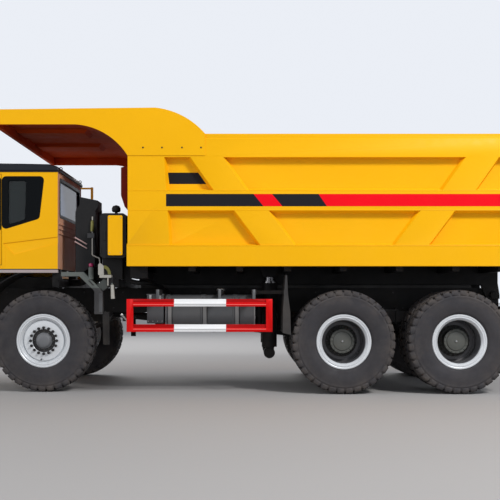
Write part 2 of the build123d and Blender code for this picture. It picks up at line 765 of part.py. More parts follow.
dash_x = cab_front_x - cab_wall
wheel_rim_r = 240
with BuildPart() as dashboard:
    profile(cab_left_y - cab_wall - 60, cab_width - 2 * cab_wall - 120, (dash_x, cab_floor_z + cab_wall),
            (dash_x, 2320), (dash_x - 130, 2400), (dash_x - 480, 2340), (dash_x - 480, 2200), (dash_x - 300, 2100),
            (dash_x - 260, cab_floor_z + cab_wall))
    hub_point = Vector(dash_x - 620, seat_y, 2440)
    tilt = Plane(origin=hub_point, x_dir=(0, 1, 0), z_dir=(-0.6, 0, 0.8))
    rod((dash_x - 420, seat_y, 2300), tuple(hub_point), 30)
    with BuildSketch(tilt) as ring:
        Circle(wheel_rim_r)
        Circle(wheel_rim_r - 32, mode=Mode.SUBTRACT)
        Rectangle(2 * wheel_rim_r - 40, 50)
        Rectangle(50, 2 * wheel_rim_r - 40)
    extrude(ring.sketch, amount=15, both=True)
dashboard.part.label = "dashboard"
export_step(dashboard.part, "parts/dashboard.step")

# Front: bumper, deck and grille
bumper_y = 1500
lamp_ys = (1180, 820)
lamp_z = 950
lamp_r = 104
tow_z = 940                 # middle of the tow bracket's four holes
tow_spacing_y = 240
tow_spacing_z = 160
tow_hole_r = 13
deck_y = (-1500, cab_right_y - 40)
deck_t = 30
deck_front_x = front_x - 120
hood_x = (3000, front_x - 155)
hood_z = (1620, 2400)
grille_x = hood_x[1]

with BuildPart() as front_bumper:
    bumper = [(rail_front_x, 1180), (front_x - 60, 1180), (front_x, 1120), (front_x, 760), (front_x - 90, 640),
              (rail_front_x + 60, 620), (rail_front_x, 760)]
    profile(bumper_y, 2 * bumper_y, *bumper)
    for sign in (-1, 1):
        for y in lamp_ys:
            rod((front_x - 30, sign * y, lamp_z), (front_x + 1, sign * y, lamp_z), lamp_r + 6, mode=Mode.SUBTRACT)
        for up in (-1, 1):
            y, z = sign * tow_spacing_y / 2, tow_z + up * tow_spacing_z / 2
            rod((front_x - 60, y, z), (front_x + 1, y, z), tow_hole_r, mode=Mode.SUBTRACT)
front_bumper.part.label = "front_bumper"
export_step(front_bumper.part, "parts/front_bumper.step")

with BuildPart() as front_deck:
    # Engine housing on the right
    hood = [(hood_x[0], hood_z[0]), (hood_x[0], hood_z[1]), (hood_x[1] - 60, hood_z[1]), (hood_x[1], hood_z[1] - 60),
            (hood_x[1], hood_z[0])]
    profile(deck_y[1], deck_y[1] - deck_y[0] - 60, *hood)
    # Walkway on top of it
    slab((cab_rear_x, deck_front_x), deck_y, (hood_z[1], hood_z[1] + deck_t))
    slab((cab_rear_x + 20, cab_rear_x + 80), (deck_y[0] + 40, deck_y[0] + 100), (platform_z[1], hood_z[1]))
    slab((cab_rear_x + 20, cab_rear_x + 80), (deck_y[1] - 100, deck_y[1] - 40), (platform_z[1], hood_z[1]))
front_deck.part.label = "front_deck"
export_step(front_deck.part, "parts/front_deck.step")

with BuildPart() as front_panel:
    slab((cab_front_x - 60, cab_front_x), (cab_right_y - 30, cab_left_y), (1200, cab_floor_z - flat_gap))
front_panel.part.label = "front_panel"
export_step(front_panel.part, "parts/front_panel.step")

with BuildPart() as radiator_grille:
    slab((grille_x, grille_x + 45), (deck_y[0] + 80, deck_y[1] - 20), (1230, 2290))
    for z in range(1300, 2240, 90):
        slab((grille_x + 20, grille_x + 46), (deck_y[0] + 130, deck_y[1] - 70), (z, z + 45), mode=Mode.SUBTRACT)
    slab((hood_x[1] - 120, grille_x), (deck_y[0] + 80, deck_y[1] - 20), (1230, hood_z[0]))
radiator_grille.part.label = "radiator_grille"
export_step(radiator_grille.part, "parts/radiator_grille.step")

rail_r = 20
handrail_h = 900
deck_top = hood_z[1] + deck_t
right_y = deck_y[0] - flat_gap - rail_r
front_rail_x = deck_front_x + flat_gap + rail_r
rear_rail_x = cab_rear_x + 60
with BuildPart() as handrails:
    left_y = deck_y[1] - 60
    post_foot_z = hood_z[1] - 60
    for x, y in ((front_rail_x, left_y), (front_rail_x, (left_y + deck_y[0]) / 2), (front_rail_x, right_y),
                 ((front_rail_x + rear_rail_x) / 2, right_y), (rear_rail_x, right_y)):
        slab((x - rail_r, x + rail_r), (y - rail_r, y + rail_r), (post_foot_z, deck_top + handrail_h))
    for z in (deck_top + handrail_h / 2, deck_top + handrail_h - rail_r):
        rod((front_rail_x, left_y, z), (front_rail_x, right_y, z), rail_r - 4)
        rod((front_rail_x, right_y, z), (rear_rail_x, right_y, z), rail_r - 4)
handrails.part.label = "handrails"
export_step(handrails.part, "parts/handrails.step")

# Ladder below the cab's door, ahead of the front wheel
ladder_x = (3940, 4260)
with BuildPart() as access_ladder:
    for x in ladder_x:
        slab((x - 20, x + 20), (cab_left_y - 60, cab_left_y), (640, cab_floor_z - flat_gap))
    for z in (660, 940, 1220, 1500):
        slab(ladder_x, (cab_left_y - 180, cab_left_y), (z, z + 30))
    slab((ladder_x[1] - 20, rail_front_x), (cab_left_y - 180, cab_left_y - 60), (900, 1000))
access_ladder.part.label = "access_ladder"
export_step(access_ladder.part, "parts/access_ladder.step")

# Wheel guards: a bent grey bracket above and behind each front wheel
guard_y = 1480
guard_w = 300
with BuildPart() as wheel_guards:
    for sign in (-1, 1):
        y = max(sign * guard_y, sign * (guard_y - guard_w))
        bend = [(2590, 1725), (2590, 1665), (2330, 1665), (2150, 1490), (2035, 1490), (2075, 1530), (2270, 1725)]
        profile(y, guard_w, *bend)
        y = max(sign * 1400, sign * 1500)
        profile(y, 100, (2110, 1120), (1990, 1120), (1990, 1440), (2040, 1495), (2150, 1495), (2110, 1450))
        y = max(sign * 1420, sign * 1480)
        profile(y, 60, (1985, 680), (1905, 680), (1905, 1150), (1995, 1150), (1995, 1100))
    # They hang from the platform's beam
    for sign in (-1, 1):
        y = max(sign * 1300, sign * 1440)
        profile(y, 140, (platform_x[1], platform_z[0]), (2040, 1430), (2100, 1530), (1990, platform_z[1]),
                (platform_x[1], platform_z[1]))
wheel_guards.part.label = "wheel_guards"
export_step(wheel_guards.part, "parts/wheel_guards.step")

# Air intake behind the cab
stack_x = (2130, 2400)
with BuildPart() as intake_stack:
    stack = [(stack_x[0] - 20, 1790), (stack_x[0] - 20, 2600), (stack_x[0] - 60, 2660), (stack_x[0] - 60, 2760),
             (stack_x[1] - 60, 2815), (stack_x[1] - 60, 2700), (stack_x[1], 2600), (stack_x[1], 1725),
             (stack_x[0] + 145, 1725), (stack_x[0] + 60, 1790)]
    profile(1420, 330, *stack)
intake_stack.part.label = "intake_stack"
export_step(intake_stack.part, "parts/intake_stack.step")

cabinet_x = (1620, 1985)
cabinet_z = (1915, 2545)
cabinet_y = (1150, side_y - 100)
cover_t = 40
with BuildPart() as service_cabinet:
    with BuildSketch(side_view(cabinet_y[1])) as section:
        with Locations((sum(cabinet_x) / 2, sum(cabinet_z) / 2)):
            RectangleRounded(cabinet_x[1] - cabinet_x[0], cabinet_z[1] - cabinet_z[0], 55)
    extrude(section.sketch, amount=cabinet_y[1] - cabinet_y[0])
    slab((1700, 1985), (1250, 1550), (platform_z[1], cabinet_z[0] + 10))
service_cabinet.part.label = "service_cabinet"
export_step(service_cabinet.part, "parts/service_cabinet.step")

with BuildPart() as cabinet_cover:
    with BuildSketch(side_view(cabinet_y[1] + cover_t)) as section:
        with Locations((sum(cabinet_x) / 2 - 35, sum(cabinet_z) / 2)):
            RectangleRounded(205, cabinet_z[1] - cabinet_z[0] - 70, 18)
    extrude(section.sketch, amount=cover_t)
cabinet_cover.part.label = "cabinet_cover"
export_step(cabinet_cover.part, "parts/cabinet_cover.step")

# Tank and boxes below the load body
tank_x = (-200, 1089)
tank_z = (870, 1400)
tank_y = (820, 1560)
with BuildPart() as fuel_tank:
    with BuildSketch(front_view(tank_x[0])) as section:
        with Locations((sum(tank_y) / 2, sum(tank_z) / 2)):
            RectangleRounded(tank_y[1] - tank_y[0], tank_z[1] - tank_z[0], 150)
    extrude(section.sketch, amount=tank_x[1] - tank_x[0])
    for x in (60, 520, 1020):
        with BuildSketch(front_view(x)) as section:
            with Locations((sum(tank_y) / 2, sum(tank_z) / 2)):
                RectangleRounded(tank_y[1] - tank_y[0] + 16, tank_z[1] - tank_z[0] + 16, 158)
        extrude(section.sketch, amount=60)
    slab((tank_x[0] + 60, tank_x[1] - 60), (rail_outer_y, tank_y[0] + 20), (1180, 1360))
fuel_tank.part.label = "fuel_tank"
export_step(fuel_tank.part, "parts/fuel_tank.step")

with BuildPart() as side_box:
    slab((1110, 1347), (900, 1560), (988, 1399))
    slab((1200, 1300), (rail_outer_y, 901), (1180, 1300))
side_box.part.label = "side_box"
export_step(side_box.part, "parts/side_box.step")

with BuildPart() as air_tanks:
    for z in (1040, 1270):
        rod((-150, -1250, z), (1050, -1250, z), 110)
    for x in (-50, 850):
        slab((x, x + 80), (-1380, -rail_outer_y), (1140, 1170))
air_tanks.part.label = "air_tanks"
export_step(air_tanks.part, "parts/air_tanks.step")

with BuildPart() as exhaust:
    rod((1230, -820, 1300), (1980, -820, 1300), 150)
    rod((1980, -820, 1300), (2040, -820, 1300), 60)
    slab((1570, 1630), (-820, -rail_outer_y), (1290, 1330))
exhaust.part.label = "exhaust"
export_step(exhaust.part, "parts/exhaust.step")

# Side guards: two bars between two posts on each side
guard_x = (-439, 1598)
guard_z = (877, 1337)
guard_post_w = 90
ledge_h = 50                # height of a bar's lower, proud half
with BuildPart() as side_guards:
    for sign in (-1, 1):
        y_range = sorted((sign * arm_end_y, sign * side_y))
        for z in (guard_z[0], guard_z[1] - guard_bar_h):
            bar = [(arm_end_y, z), (side_y, z), (side_y, z + ledge_h), (side_y - guard_step, z + ledge_h + 6),
                   (side_y - guard_step, z + guard_bar_h), (arm_end_y, z + guard_bar_h)]
            frontal(guard_x[0], guard_x[1] - guard_x[0], *[(sign * y, up) for y, up in bar])
        for x in (guard_x[0], guard_x[1] - guard_post_w):
            slab((x, x + guard_post_w), y_range, guard_z)
        for x in guard_arm_xs:
            slab((x - 20, x + 20), sorted((sign * arm_end_y, sign * (side_y - guard_step))), (guard_z[1] - 1, arm_z[1]))
side_guards.part.label = "side_guards"
export_step(side_guards.part, "parts/side_guards.step")

# Mud flaps ahead of and behind the rear wheels
with BuildPart() as mudflaps:
    for sign in (-1, 1):
        y_far = max(sign * 1800, sign * 920)
        profile(y_far, 880, (-622, 1672), (-588, 1200), (-585, 860), (-698, 835), (-690, 1150), (-658, 1400),
                (-645, 1672))
        rear = rear_axle_xs[1] - tyre_r
        profile(y_far, 880, (rear - 60, 1230), (rear - 60, 560), (rear - 80, 560), (rear - 80, 1230))
        y_near, y_far = sorted((sign * 920, sign * 1800))
        slab((-655, -600), (y_near, y_far), (1410, 1460))
        y_near, y_far = sorted((sign * 1320, sign * 1380))
        slab((-610, guard_arm_xs[2] - 35), (y_near, y_far), (1410, 1460))
        y_near, y_far = sorted((sign * rail_outer_y, sign * 1800))
        slab((rear - 62, rear - 10), (y_near, y_far), (1180, 1230))
mudflaps.part.label = "mudflaps"
export_step(mudflaps.part, "parts/mudflaps.step")

# Lamps
with BuildPart() as lamps:
    for sign in (-1, 1):
        for y in lamp_ys:
            rod((front_x - 30, sign * y, lamp_z), (front_x - 4, sign * y, lamp_z), lamp_r)
        y_near, y_far = sorted((sign * 560, sign * 950))
        slab((rail_rear_x - 60, rail_rear_x - 20), (y_near, y_far), (1180, 1300))
    slab((rail_rear_x - 20, rail_rear_x), (-950, 950), (1200, 1280))
lamps.part.label = "lamps"
export_step(lamps.part, "parts/lamps.step")

# Mirrors
with BuildPart() as mirrors:
    right_post_y = right_y - rail_r
    for sign, y, x, z in ((1, cab_left_y + flat_gap, cab_front_x - 70, 2360),
                          (-1, right_post_y - flat_gap, front_rail_x, 2900)):
        out_y = y + sign * 190
        rod((x, y, z), (x, out_y, z), 14)
        slab((x - 20, x + 30), (out_y - 90, out_y + 90), (z - 40, z + 400))
mirrors.part.label = "mirrors"
export_step(mirrors.part, "parts/mirrors.step")

# Load body: tub, ribs and beams
upper_rib = (1925, 1594, 460)   # from the middle of the side: top, bottom, width of the flat
lower_rib = (1304, 953, 478)
post_top, post_low = 509, 586
sill_nose = 12              # how far the sill reaches ahead of the front wall
cross_beam_xs = (1380, 700, 20, -660, -1450, -2250, -3050, -3700)


def raised(sign, *points):
    """A rib with sloped borders on one side of the tub, from its flat's outline of (x, z) points."""
    plane = Plane.XZ.offset(-wall_outer_y * sign)
    if sign > 0:
        plane = Plane(origin=(0, wall_outer_y, 0), x_dir=(-1, 0, 0), z_dir=(0, 1, 0))
        points = [(-x, z) for x, z in points]
    with BuildSketch(plane) as section:
        outline(*points)
        offset(amount=rib_flank, kind=Kind.INTERSECTION)
    extrude(section.sketch, amount=rib_depth - sill_proud, taper=rib_taper)


def slanted(top_x, bottom_x, width, top_z, bottom_z, overrun):
    """Outline of a slanted rib that runs on behind the rails above and below it."""
    slope = (top_x - bottom_x) / (top_z - bottom_z)
    top_x, bottom_x = top_x + slope * overrun, bottom_x - slope * overrun
    top_z, bottom_z = top_z + overrun, bottom_z - overrun
    half = width / 2
    return [(bottom_x - half, bottom_z), (bottom_x + half, bottom_z), (top_x + half, top_z), (top_x - half, top_z)]


with BuildPart() as dump_body:
    # Tub with sloped corners between floor and sides
    tub = [(wall_outer_y, body_top_z), (wall_outer_y, floor_bottom_z)]
    hollow = [(wall_inner_y, body_top_z), (wall_inner_y, floor_top_z + floor_corner),
              (wall_inner_y - floor_corner, floor_top_z)]
    section_points = tub + [(-y, z) for y, z in reversed(tub)]
    section_points += [(-y, z) for y, z in hollow] + list(reversed(hollow))
    frontal(body_rear_x, body_side_length, *section_points)
    # Front wall, and the floor's rise to the tail
    slab((body_front_x - body_wall, body_front_x), (-wall_inner_y - 1, wall_inner_y + 1), (floor_bottom_z, gusset_low_z))
    tail_top = floor_top_z + tail_lift
    profile(wall_inner_y - floor_corner, 2 * (wall_inner_y - floor_corner), (tail_start_x, floor_top_z - 5),
            (body_rear_x, tail_top), (tail_x, tail_top + 15), (tail_x, tail_top - 60), (body_rear_x, tail_top - 80),
            (body_rear_x, floor_bottom_z + 5), (tail_start_x, floor_bottom_z + 5))
    for sign in (-1, 1):
        # Rails, belt and sill
        rail = [(wall_inner_y, body_top_z), (face_y - sill_proud, body_top_z), (face_y - sill_proud, body_top_z - rail_lip_h),
                (face_y, body_top_z - rail_lip_h - 6), (face_y, rail_low_z), (wall_inner_y, rail_low_z)]
        frontal(body_rear_x, body_side_length, *[(sign * y, z) for y, z in rail])
        sill = [(wall_inner_y, sill_top_z), (wall_outer_y, sill_top_z), (side_y, sill_top_z - 28),
                (side_y, sill_bottom_z), (wall_outer_y - 100, sill_bottom_z), (wall_inner_y, floor_bottom_z)]
        frontal(body_rear_x, body_side_length + sill_nose, *[(sign * y, z) for y, z in sill])
        raised(sign, (body_rear_x + 60, belt_bottom_z), (body_front_x - 60, belt_bottom_z),
               (body_front_x - 60, belt_top_z), (body_rear_x + 60, belt_top_z))
        # Posts at both ends, wider below, cut off flush with the tub
        for end in (1, -1):
            x = body_mid_x + end * body_side_length / 2
            post = [(x + end * rib_depth, sill_bottom_z + 60), (x + end * rib_depth, gusset_low_z),
                    (x - end * post_top, gusset_low_z), (x - end * post_low, sill_top_z), (x - end * post_low, sill_bottom_z + 60)]
            raised(sign, *post)
        # Slanted ribs above and below the belt, mirrored about the middle of the side
        for end in (1, -1):
            top, bottom, width = upper_rib
            raised(sign, *slanted(body_mid_x + end * top, body_mid_x + end * bottom, width, rail_low_z, belt_top_z, 60))
            top, bottom, width = lower_rib
            raised(sign, *slanted(body_mid_x + end * top, body_mid_x + end * bottom, width, belt_bottom_z, sill_top_z, 60))
        # Stiffeners on the front wall
        for y in (0, 825, 1650):
            if y or sign > 0:
                profile(sign * y + 60, 120, (body_front_x - 1, 2570), (body_front_x + 60, 2640), (body_front_x + 112, 2800),
                        (body_front_x + 112, 3192), (body_front_x - 1, 3230))
    for sign in (-1, 1):
        # What the posts' outlines reach past the tub's ends
        y_range = sorted((sign * wall_outer_y, sign * (side_y + 1)))
        overrun = 2 * rib_depth
        for x, end_x, low_z in (
            (body_rear_x - overrun, body_rear_x, sill_bottom_z - 1),
            (body_front_x, body_front_x + overrun, sill_top_z),
            (body_front_x + sill_nose, body_front_x + overrun, sill_bottom_z - 1),
        ):
            slab((x, end_x), y_range, (low_z, body_top_z + 1), mode=Mode.SUBTRACT)
        # Room for the canopy's side plates and its sheet
        slab((gusset_rear_x, body_front_x + 1), y_range, (gusset_low_z, body_top_z + 1), mode=Mode.SUBTRACT)
        y_range = sorted((sign * (wall_inner_y - 2), sign * (side_y + 1)))
        slab((body_front_x - body_wall, body_front_x + 1), y_range, (gusset_low_z, body_top_z + 1), mode=Mode.SUBTRACT)
dump_body.part.label = "dump_body"
export_step(dump_body.part, "parts/dump_body.step")

cross_beam_h = 110
with BuildPart() as body_subframe:
    for sign in (-1, 1):
        # Long beams that rest on the frame's pads
        y_range = sorted((sign * beam_inner_y, sign * beam_outer_y))
        slab((pivot_x - 70, body_front_x), y_range, (beam_bottom_z, floor_bottom_z))
        # Hinge ears on the tilting shaft
        y_near, y_far = sorted((sign * (rail_outer_y + 15), sign * beam_outer_y))
        profile(y_far, y_far - y_near, (pivot_x - 100, pivot_z - 60), (pivot_x + 100, pivot_z - 60),
                (pivot_x + 200, beam_bottom_z + 20), (pivot_x - 70, beam_bottom_z + 20), (pivot_x - 100, pivot_z))
        bar_y(pivot_x, pivot_z, pivot_r + shaft_gap, (y_near - 1, y_far + 1), mode=Mode.SUBTRACT)
        # Clevises for the hoist's rods
        for offset_y in (-clevis_t - clevis_half, clevis_half):
            y_near = sign * hoist_y + offset_y
            profile(y_near + clevis_t, clevis_t, (hoist_x - 90, hoist_high_z - 60), (hoist_x + 90, hoist_high_z - 60),
                    (hoist_x + 150, floor_bottom_z), (hoist_x - 150, floor_bottom_z))
    for x in cross_beam_xs:
        slab((x - 50, x + 50), (-wall_outer_y + 101, wall_outer_y - 101), (floor_bottom_z - cross_beam_h, floor_bottom_z))
body_subframe.part.label = "body_subframe"
export_step(body_subframe.part, "parts/body_subframe.step")

# Canopy
canopy_arc_rear = (body_front_x, gusset_low_z)
pressed_rib_y = 600         # middle of each rib pressed into the canopy's sheet
pressed_rib_w = 520
pressed_rib_h = 50
with BuildPart() as canopy:
    for y in (side_y, gusset_t - side_y):
        with BuildSketch(side_view(y)) as section:
            with BuildLine() as border:
                top = (body_front_x - 384, canopy_top_z)
                rear = (gusset_rear_x, body_top_z)
                Line((canopy_front_x, canopy_low_z), (canopy_front_x, canopy_front_top_z))
                Line((canopy_front_x, canopy_front_top_z), top)
                ThreePointArc(top, (gusset_rear_x + 348, 3911), rear)
                Polyline(rear, (gusset_rear_x, gusset_low_z), canopy_arc_rear)
                ThreePointArc(canopy_arc_rear, (1875, 3632), (canopy_flat_rear_x, canopy_low_z))
                Line((canopy_flat_rear_x, canopy_low_z), (canopy_front_x, canopy_low_z))
            make_face(border.edges())
        extrude(section.sketch, amount=gusset_t)
    for sign in (-1, 1):
        # Packing between the side plates and the tub, and round the tub's front corner
        y_range = sorted((sign * wall_outer_y, sign * (side_y - gusset_t + 1)))
        slab((gusset_rear_x, body_front_x), y_range, (gusset_low_z, body_top_z))
        y_range = sorted((sign * (wall_inner_y - 2), sign * (wall_outer_y + 1)))
        slab((body_front_x - body_wall, body_front_x), y_range, (gusset_low_z, body_top_z))
    with BuildSketch(side_view(side_y - 30)) as section:
        with BuildLine() as border:
            Line((canopy_front_x - 20, canopy_sheet_low_z), (canopy_front_x - 20, canopy_sheet_low_z + canopy_sheet_t))
            Line((canopy_front_x - 20, canopy_sheet_low_z + canopy_sheet_t), (2280, canopy_sheet_low_z + canopy_sheet_t))
            ThreePointArc((2280, canopy_sheet_low_z + canopy_sheet_t), (1760, 3762), (body_front_x - body_wall, gusset_low_z))
            Line((body_front_x - body_wall, gusset_low_z), (body_front_x, gusset_low_z))
            ThreePointArc((body_front_x, gusset_low_z), (1805, 3716), (2300, canopy_sheet_low_z))
            Line((2300, canopy_sheet_low_z), (canopy_front_x - 20, canopy_sheet_low_z))
        make_face(border.edges())
    extrude(section.sketch, amount=2 * side_y - 60)
    slab((canopy_front_x - 60, canopy_front_x), (-side_y + 1, side_y - 1), (canopy_low_z, canopy_front_top_z))
    # Two wide ribs pressed down into the sheet, with sloped sides and ends
    rib_x = (2330, canopy_front_x - 50)
    for y in (pressed_rib_y, -pressed_rib_y):
        plane = Plane(origin=(sum(rib_x) / 2, y, canopy_sheet_low_z + 1), x_dir=(1, 0, 0), z_dir=(0, 0, -1))
        with BuildSketch(plane) as section:
            Rectangle(rib_x[1] - rib_x[0], pressed_rib_w)
        extrude(section.sketch, amount=pressed_rib_h, taper=45)
canopy.part.label = "canopy"
export_step(canopy.part, "parts/canopy.step")

# Hoist: tubes that slide in each other, with an eye at each end
tube_tops = [hoist_high_z - 95 - tube_step_z * (3 - level) for level in range(4)]
stage_names = ("hoist_barrels", "hoist_stage_1", "hoist_stage_2", "hoist_rods")
for level, name in enumerate(stage_names):
    with BuildPart() as tube:
        for sign in (-1, 1):
            y = sign * hoist_y
            r = tube_rs[level]
            bottom = hoist_low_z + 95 + 12 * level
            if level < 3:
                bar_z(hoist_x, y, r, (bottom - 5, tube_tops[level]))
                bar_z(hoist_x, y, tube_rs[level + 1] + shaft_gap, (bottom + 7, tube_tops[level] + 1), mode=Mode.SUBTRACT)
            else:
                bar_z(hoist_x, y, r, (bottom - 5, hoist_high_z - 60))
                bar_y(hoist_x, hoist_high_z, 75, (y - 60, y + 60))
                bar_y(hoist_x, hoist_high_z, hoist_pin_r, (y - clevis_half + 2, y + clevis_half - 2))
            if level == 0:
                bar_y(hoist_x, hoist_low_z, 85, sorted((sign * (hanger_y + 10), sign * (hoist_y + 60))))
                bar_z(hoist_x, y, 62, (hoist_low_z + 40, bottom))
        for sign in (-1, 1):
            if level == 0:
                y = sign * hoist_y
                bar_y(hoist_x, hoist_low_z, hoist_pin_r + shaft_gap, (y - 200, y + 200), mode=Mode.SUBTRACT)
    tube.part.label = name
    export_step(tube.part, f"parts/{name}.step")
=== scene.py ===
"""Looks of a three-axle mining dump truck, in metres: +X forwards, +Y to its left, +Z up."""

import json
import math

import bmesh
import bpy
from mathutils import Matrix, Vector


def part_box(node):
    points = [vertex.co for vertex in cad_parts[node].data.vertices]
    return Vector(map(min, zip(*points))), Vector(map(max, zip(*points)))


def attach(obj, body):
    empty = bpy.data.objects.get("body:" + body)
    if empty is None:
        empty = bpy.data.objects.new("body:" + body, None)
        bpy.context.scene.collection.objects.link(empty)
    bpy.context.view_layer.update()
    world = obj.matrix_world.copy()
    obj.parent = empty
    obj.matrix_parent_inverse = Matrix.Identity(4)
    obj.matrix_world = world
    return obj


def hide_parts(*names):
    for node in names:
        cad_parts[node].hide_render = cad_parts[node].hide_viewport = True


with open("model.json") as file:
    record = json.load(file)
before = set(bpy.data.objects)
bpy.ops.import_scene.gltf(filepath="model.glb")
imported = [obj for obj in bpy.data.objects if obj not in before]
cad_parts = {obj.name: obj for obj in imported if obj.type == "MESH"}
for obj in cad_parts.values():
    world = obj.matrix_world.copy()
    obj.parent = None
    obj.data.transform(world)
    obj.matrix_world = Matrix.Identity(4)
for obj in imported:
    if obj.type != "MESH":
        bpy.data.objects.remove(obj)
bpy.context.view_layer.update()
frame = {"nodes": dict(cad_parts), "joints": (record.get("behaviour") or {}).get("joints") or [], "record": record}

# Places from the frame
nodes = frame["nodes"]
joints = {joint["name"]: joint for joint in frame["joints"]}
node_slots = {part["node"]: part["material_slot"] for part in frame["record"]["subparts"]}
front_wheel_place = Vector(joints["front_wheel_left_spin"]["pos_m"])
rear_wheel_places = [Vector(joints[f"rear_wheels_{n}_left_spin"]["pos_m"]) for n in (1, 2)]
tyre_r = front_wheel_place.z
side_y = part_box("dump_body")[1].y

# Driving dimensions that the frame's boxes don't give
tyre_w = 0.43
dual_spacing = 0.5
wall_outer_y = side_y - 0.11
rail_y, rail_top_z = 0.480, 1.51
spring_y, saddle_y = 0.43, 0.62
cab_side_y, cab_right_y = 1.500, -0.220
cab_rear_x, cab_front_x = 2.635, 4.500

# The camera's eye, and how the photo's pixels stand for places on the body's side
eye_x, eye_y, eye_z = -0.125, 13.9, 1.33
middle_column, horizon_row = 250, 299.5
metres_a_pixel = 0.01395

SIDES = (("left", 1), ("right", -1))

# Colours, linear
YELLOW = (0.95, 0.475, 0.0025, 1)
STRIPE_BLACK = (0.012, 0.011, 0.014, 1)
STRIPE_RED = (0.90, 0.001, 0.010, 1)
GUARD_RED = (0.70, 0.001, 0.002, 1)
GUARD_WHITE = (0.86, 0.86, 0.86, 1)
PRIMER_BROWN = (0.20, 0.020, 0.012, 1)
# The canopy's underside: the front wall's primer made brighter, painted light bounced up under the canopy
CANOPY_BROWN_PAINTED_LIGHT = (0.52, 0.062, 0.010, 1)
# Brown of the cab's rear wall, made paler: painted bounce light on a wall that stands in shade
CAB_BROWN_WITH_PAINTED_LIGHT = (0.62, 0.31, 0.19, 1)
FRAME_BLACK = (0.012, 0.012, 0.013, 1)
CHARCOAL = (0.010, 0.011, 0.016, 1)
PLASTIC_BLACK = (0.009, 0.009, 0.010, 1)
BRACKET_GREY = (0.11, 0.125, 0.115, 1)
TANK_GREY = (0.07, 0.073, 0.078, 1)
HUB_GREY = (0.07, 0.075, 0.068, 1)
RIM_SILVER = (0.71, 0.73, 0.75, 1)
RUBBER = (0.036, 0.034, 0.038, 1)
DUST = (0.30, 0.235, 0.175, 1)
FLOAT, VECTOR = "NodeSocketFloat", "NodeSocketVector"


# Shader nodes
def add_node(tree, kind, inputs=None, **settings):
    """A node with its settings and its inputs, each a value or a socket to link."""
    node = tree.nodes.new(kind)
    for key, value in settings.items():
        setattr(node, key, value)
    for key, value in (inputs or {}).items():
        if isinstance(value, bpy.types.NodeSocket):
            tree.links.new(value, node.inputs[key])
        else:
            node.inputs[key].default_value = value
    return node


def maths(tree, operation, first, second=0.5, clamp=False):
    node = add_node(tree, "ShaderNodeMath", {0: first, 1: second}, operation=operation, use_clamp=clamp)
    return node.outputs[0]


def shader_group(name, inputs, outputs):
    """An empty node group with named sockets."""
    tree = bpy.data.node_groups.new(name, "ShaderNodeTree")
    for label, kind, default in inputs:
        tree.interface.new_socket(name=label, in_out="INPUT", socket_type=kind).default_value = default
    for label, kind in outputs:
        tree.interface.new_socket(name=label, in_out="OUTPUT", socket_type=kind)
    return tree, tree.nodes.new("NodeGroupInput"), tree.nodes.new("NodeGroupOutput")


def noise(tree, scale, detail=4.0, rough=0.55, stretch=None):
    """Noise on the piece's own coordinates, stretched along its axes where asked."""
    place = add_node(tree, "ShaderNodeTexCoord").outputs["Object"]
    if stretch:
        place = add_node(tree, "ShaderNodeMapping", {"Vector": place, "Scale": stretch}).outputs["Vector"]
    values = {"Vector": place, "Scale": scale, "Detail": detail, "Roughness": rough}
    return add_node(tree, "ShaderNodeTexNoise", values).outputs["Fac"]


def band(tree, value, low, high, to_low=0.0, to_high=1.0):
    """Map a value from one range to another, held at its ends."""
    inputs = {"Value": value, "From Min": low, "From Max": high, "To Min": to_low, "To Max": to_high}
    return add_node(tree, "ShaderNodeMapRange", inputs, clamp=True).outputs["Result"]


def make_dust_group():
    """Road dust that thins out upwards from the ground, broken up by noise."""
    inputs = [("Low", FLOAT, 0.0), ("High", FLOAT, 1.6), ("Amount", FLOAT, 0.5)]
    tree, entry, leave = shader_group("road_dust", inputs, [("Mask", FLOAT)])
    place = add_node(tree, "ShaderNodeTexCoord").outputs["Object"]
    height = add_node(tree, "ShaderNodeSeparateXYZ", {"Vector": place}).outputs["Z"]
    fade = band(tree, height, entry.outputs["Low"], entry.outputs["High"], 1.0, 0.12)
    blotches = band(tree, noise(tree, 1.9, 6.0, 0.62), 0.35, 0.75)
    grit = band(tree, noise(tree, 46.0, 3.0), 0.3, 0.75, 0.55, 1.0)
    mask = maths(tree, "MULTIPLY", maths(tree, "MULTIPLY", fade, blotches), grit)
    mask = maths(tree, "MULTIPLY", mask, entry.outputs["Amount"], True)
    tree.links.new(mask, leave.inputs["Mask"])
    return tree


def make_finish_group():
    """Fine unevenness of a sprayed or moulded surface: a tone, a roughness share and a height."""
    inputs = [("Grain", FLOAT, 160.0), ("Tone", FLOAT, 0.06)]
    outputs = [("Tone", FLOAT), ("Rough", FLOAT), ("Height", FLOAT)]
    tree, entry, leave = shader_group("surface_finish", inputs, outputs)
    broad = noise(tree, 0.9, 3.0)
    low = maths(tree, "SUBTRACT", 1.0, entry.outputs["Tone"])
    high = maths(tree, "ADD", 1.0, entry.outputs["Tone"])
    tree.links.new(band(tree, broad, 0.3, 0.7, low, high), leave.inputs["Tone"])
    tree.links.new(noise(tree, 7.0, 5.0, 0.65), leave.inputs["Rough"])
    fine = noise(tree, entry.outputs["Grain"], 2.0)
    tree.links.new(fine, leave.inputs["Height"])
    return tree


def make_runs_group():
    """Dirt that has run down a wall in thin streaks."""
    tree, entry, leave = shader_group("rain_runs", [("Amount", FLOAT, 0.3)], [("Mask", FLOAT)])
    streaks = band(tree, noise(tree, 3.2, 5.0, 0.6, (5.0, 5.0, 0.35)), 0.55, 0.8)
    patches = band(tree, noise(tree, 0.8, 3.0), 0.4, 0.7)
    mask = maths(tree, "MULTIPLY", maths(tree, "MULTIPLY", streaks, patches), entry.outputs["Amount"], True)
    tree.links.new(mask, leave.inputs["Mask"])
    return tree


dust_group = make_dust_group()
finish_group = make_finish_group()
runs_group = make_runs_group()


def new_material(name):
    """A material with its node tree and its Principled shader."""
    material = bpy.data.materials.new(name)
    material.use_nodes = True
    return material, material.node_tree, material.node_tree.nodes["Principled BSDF"]


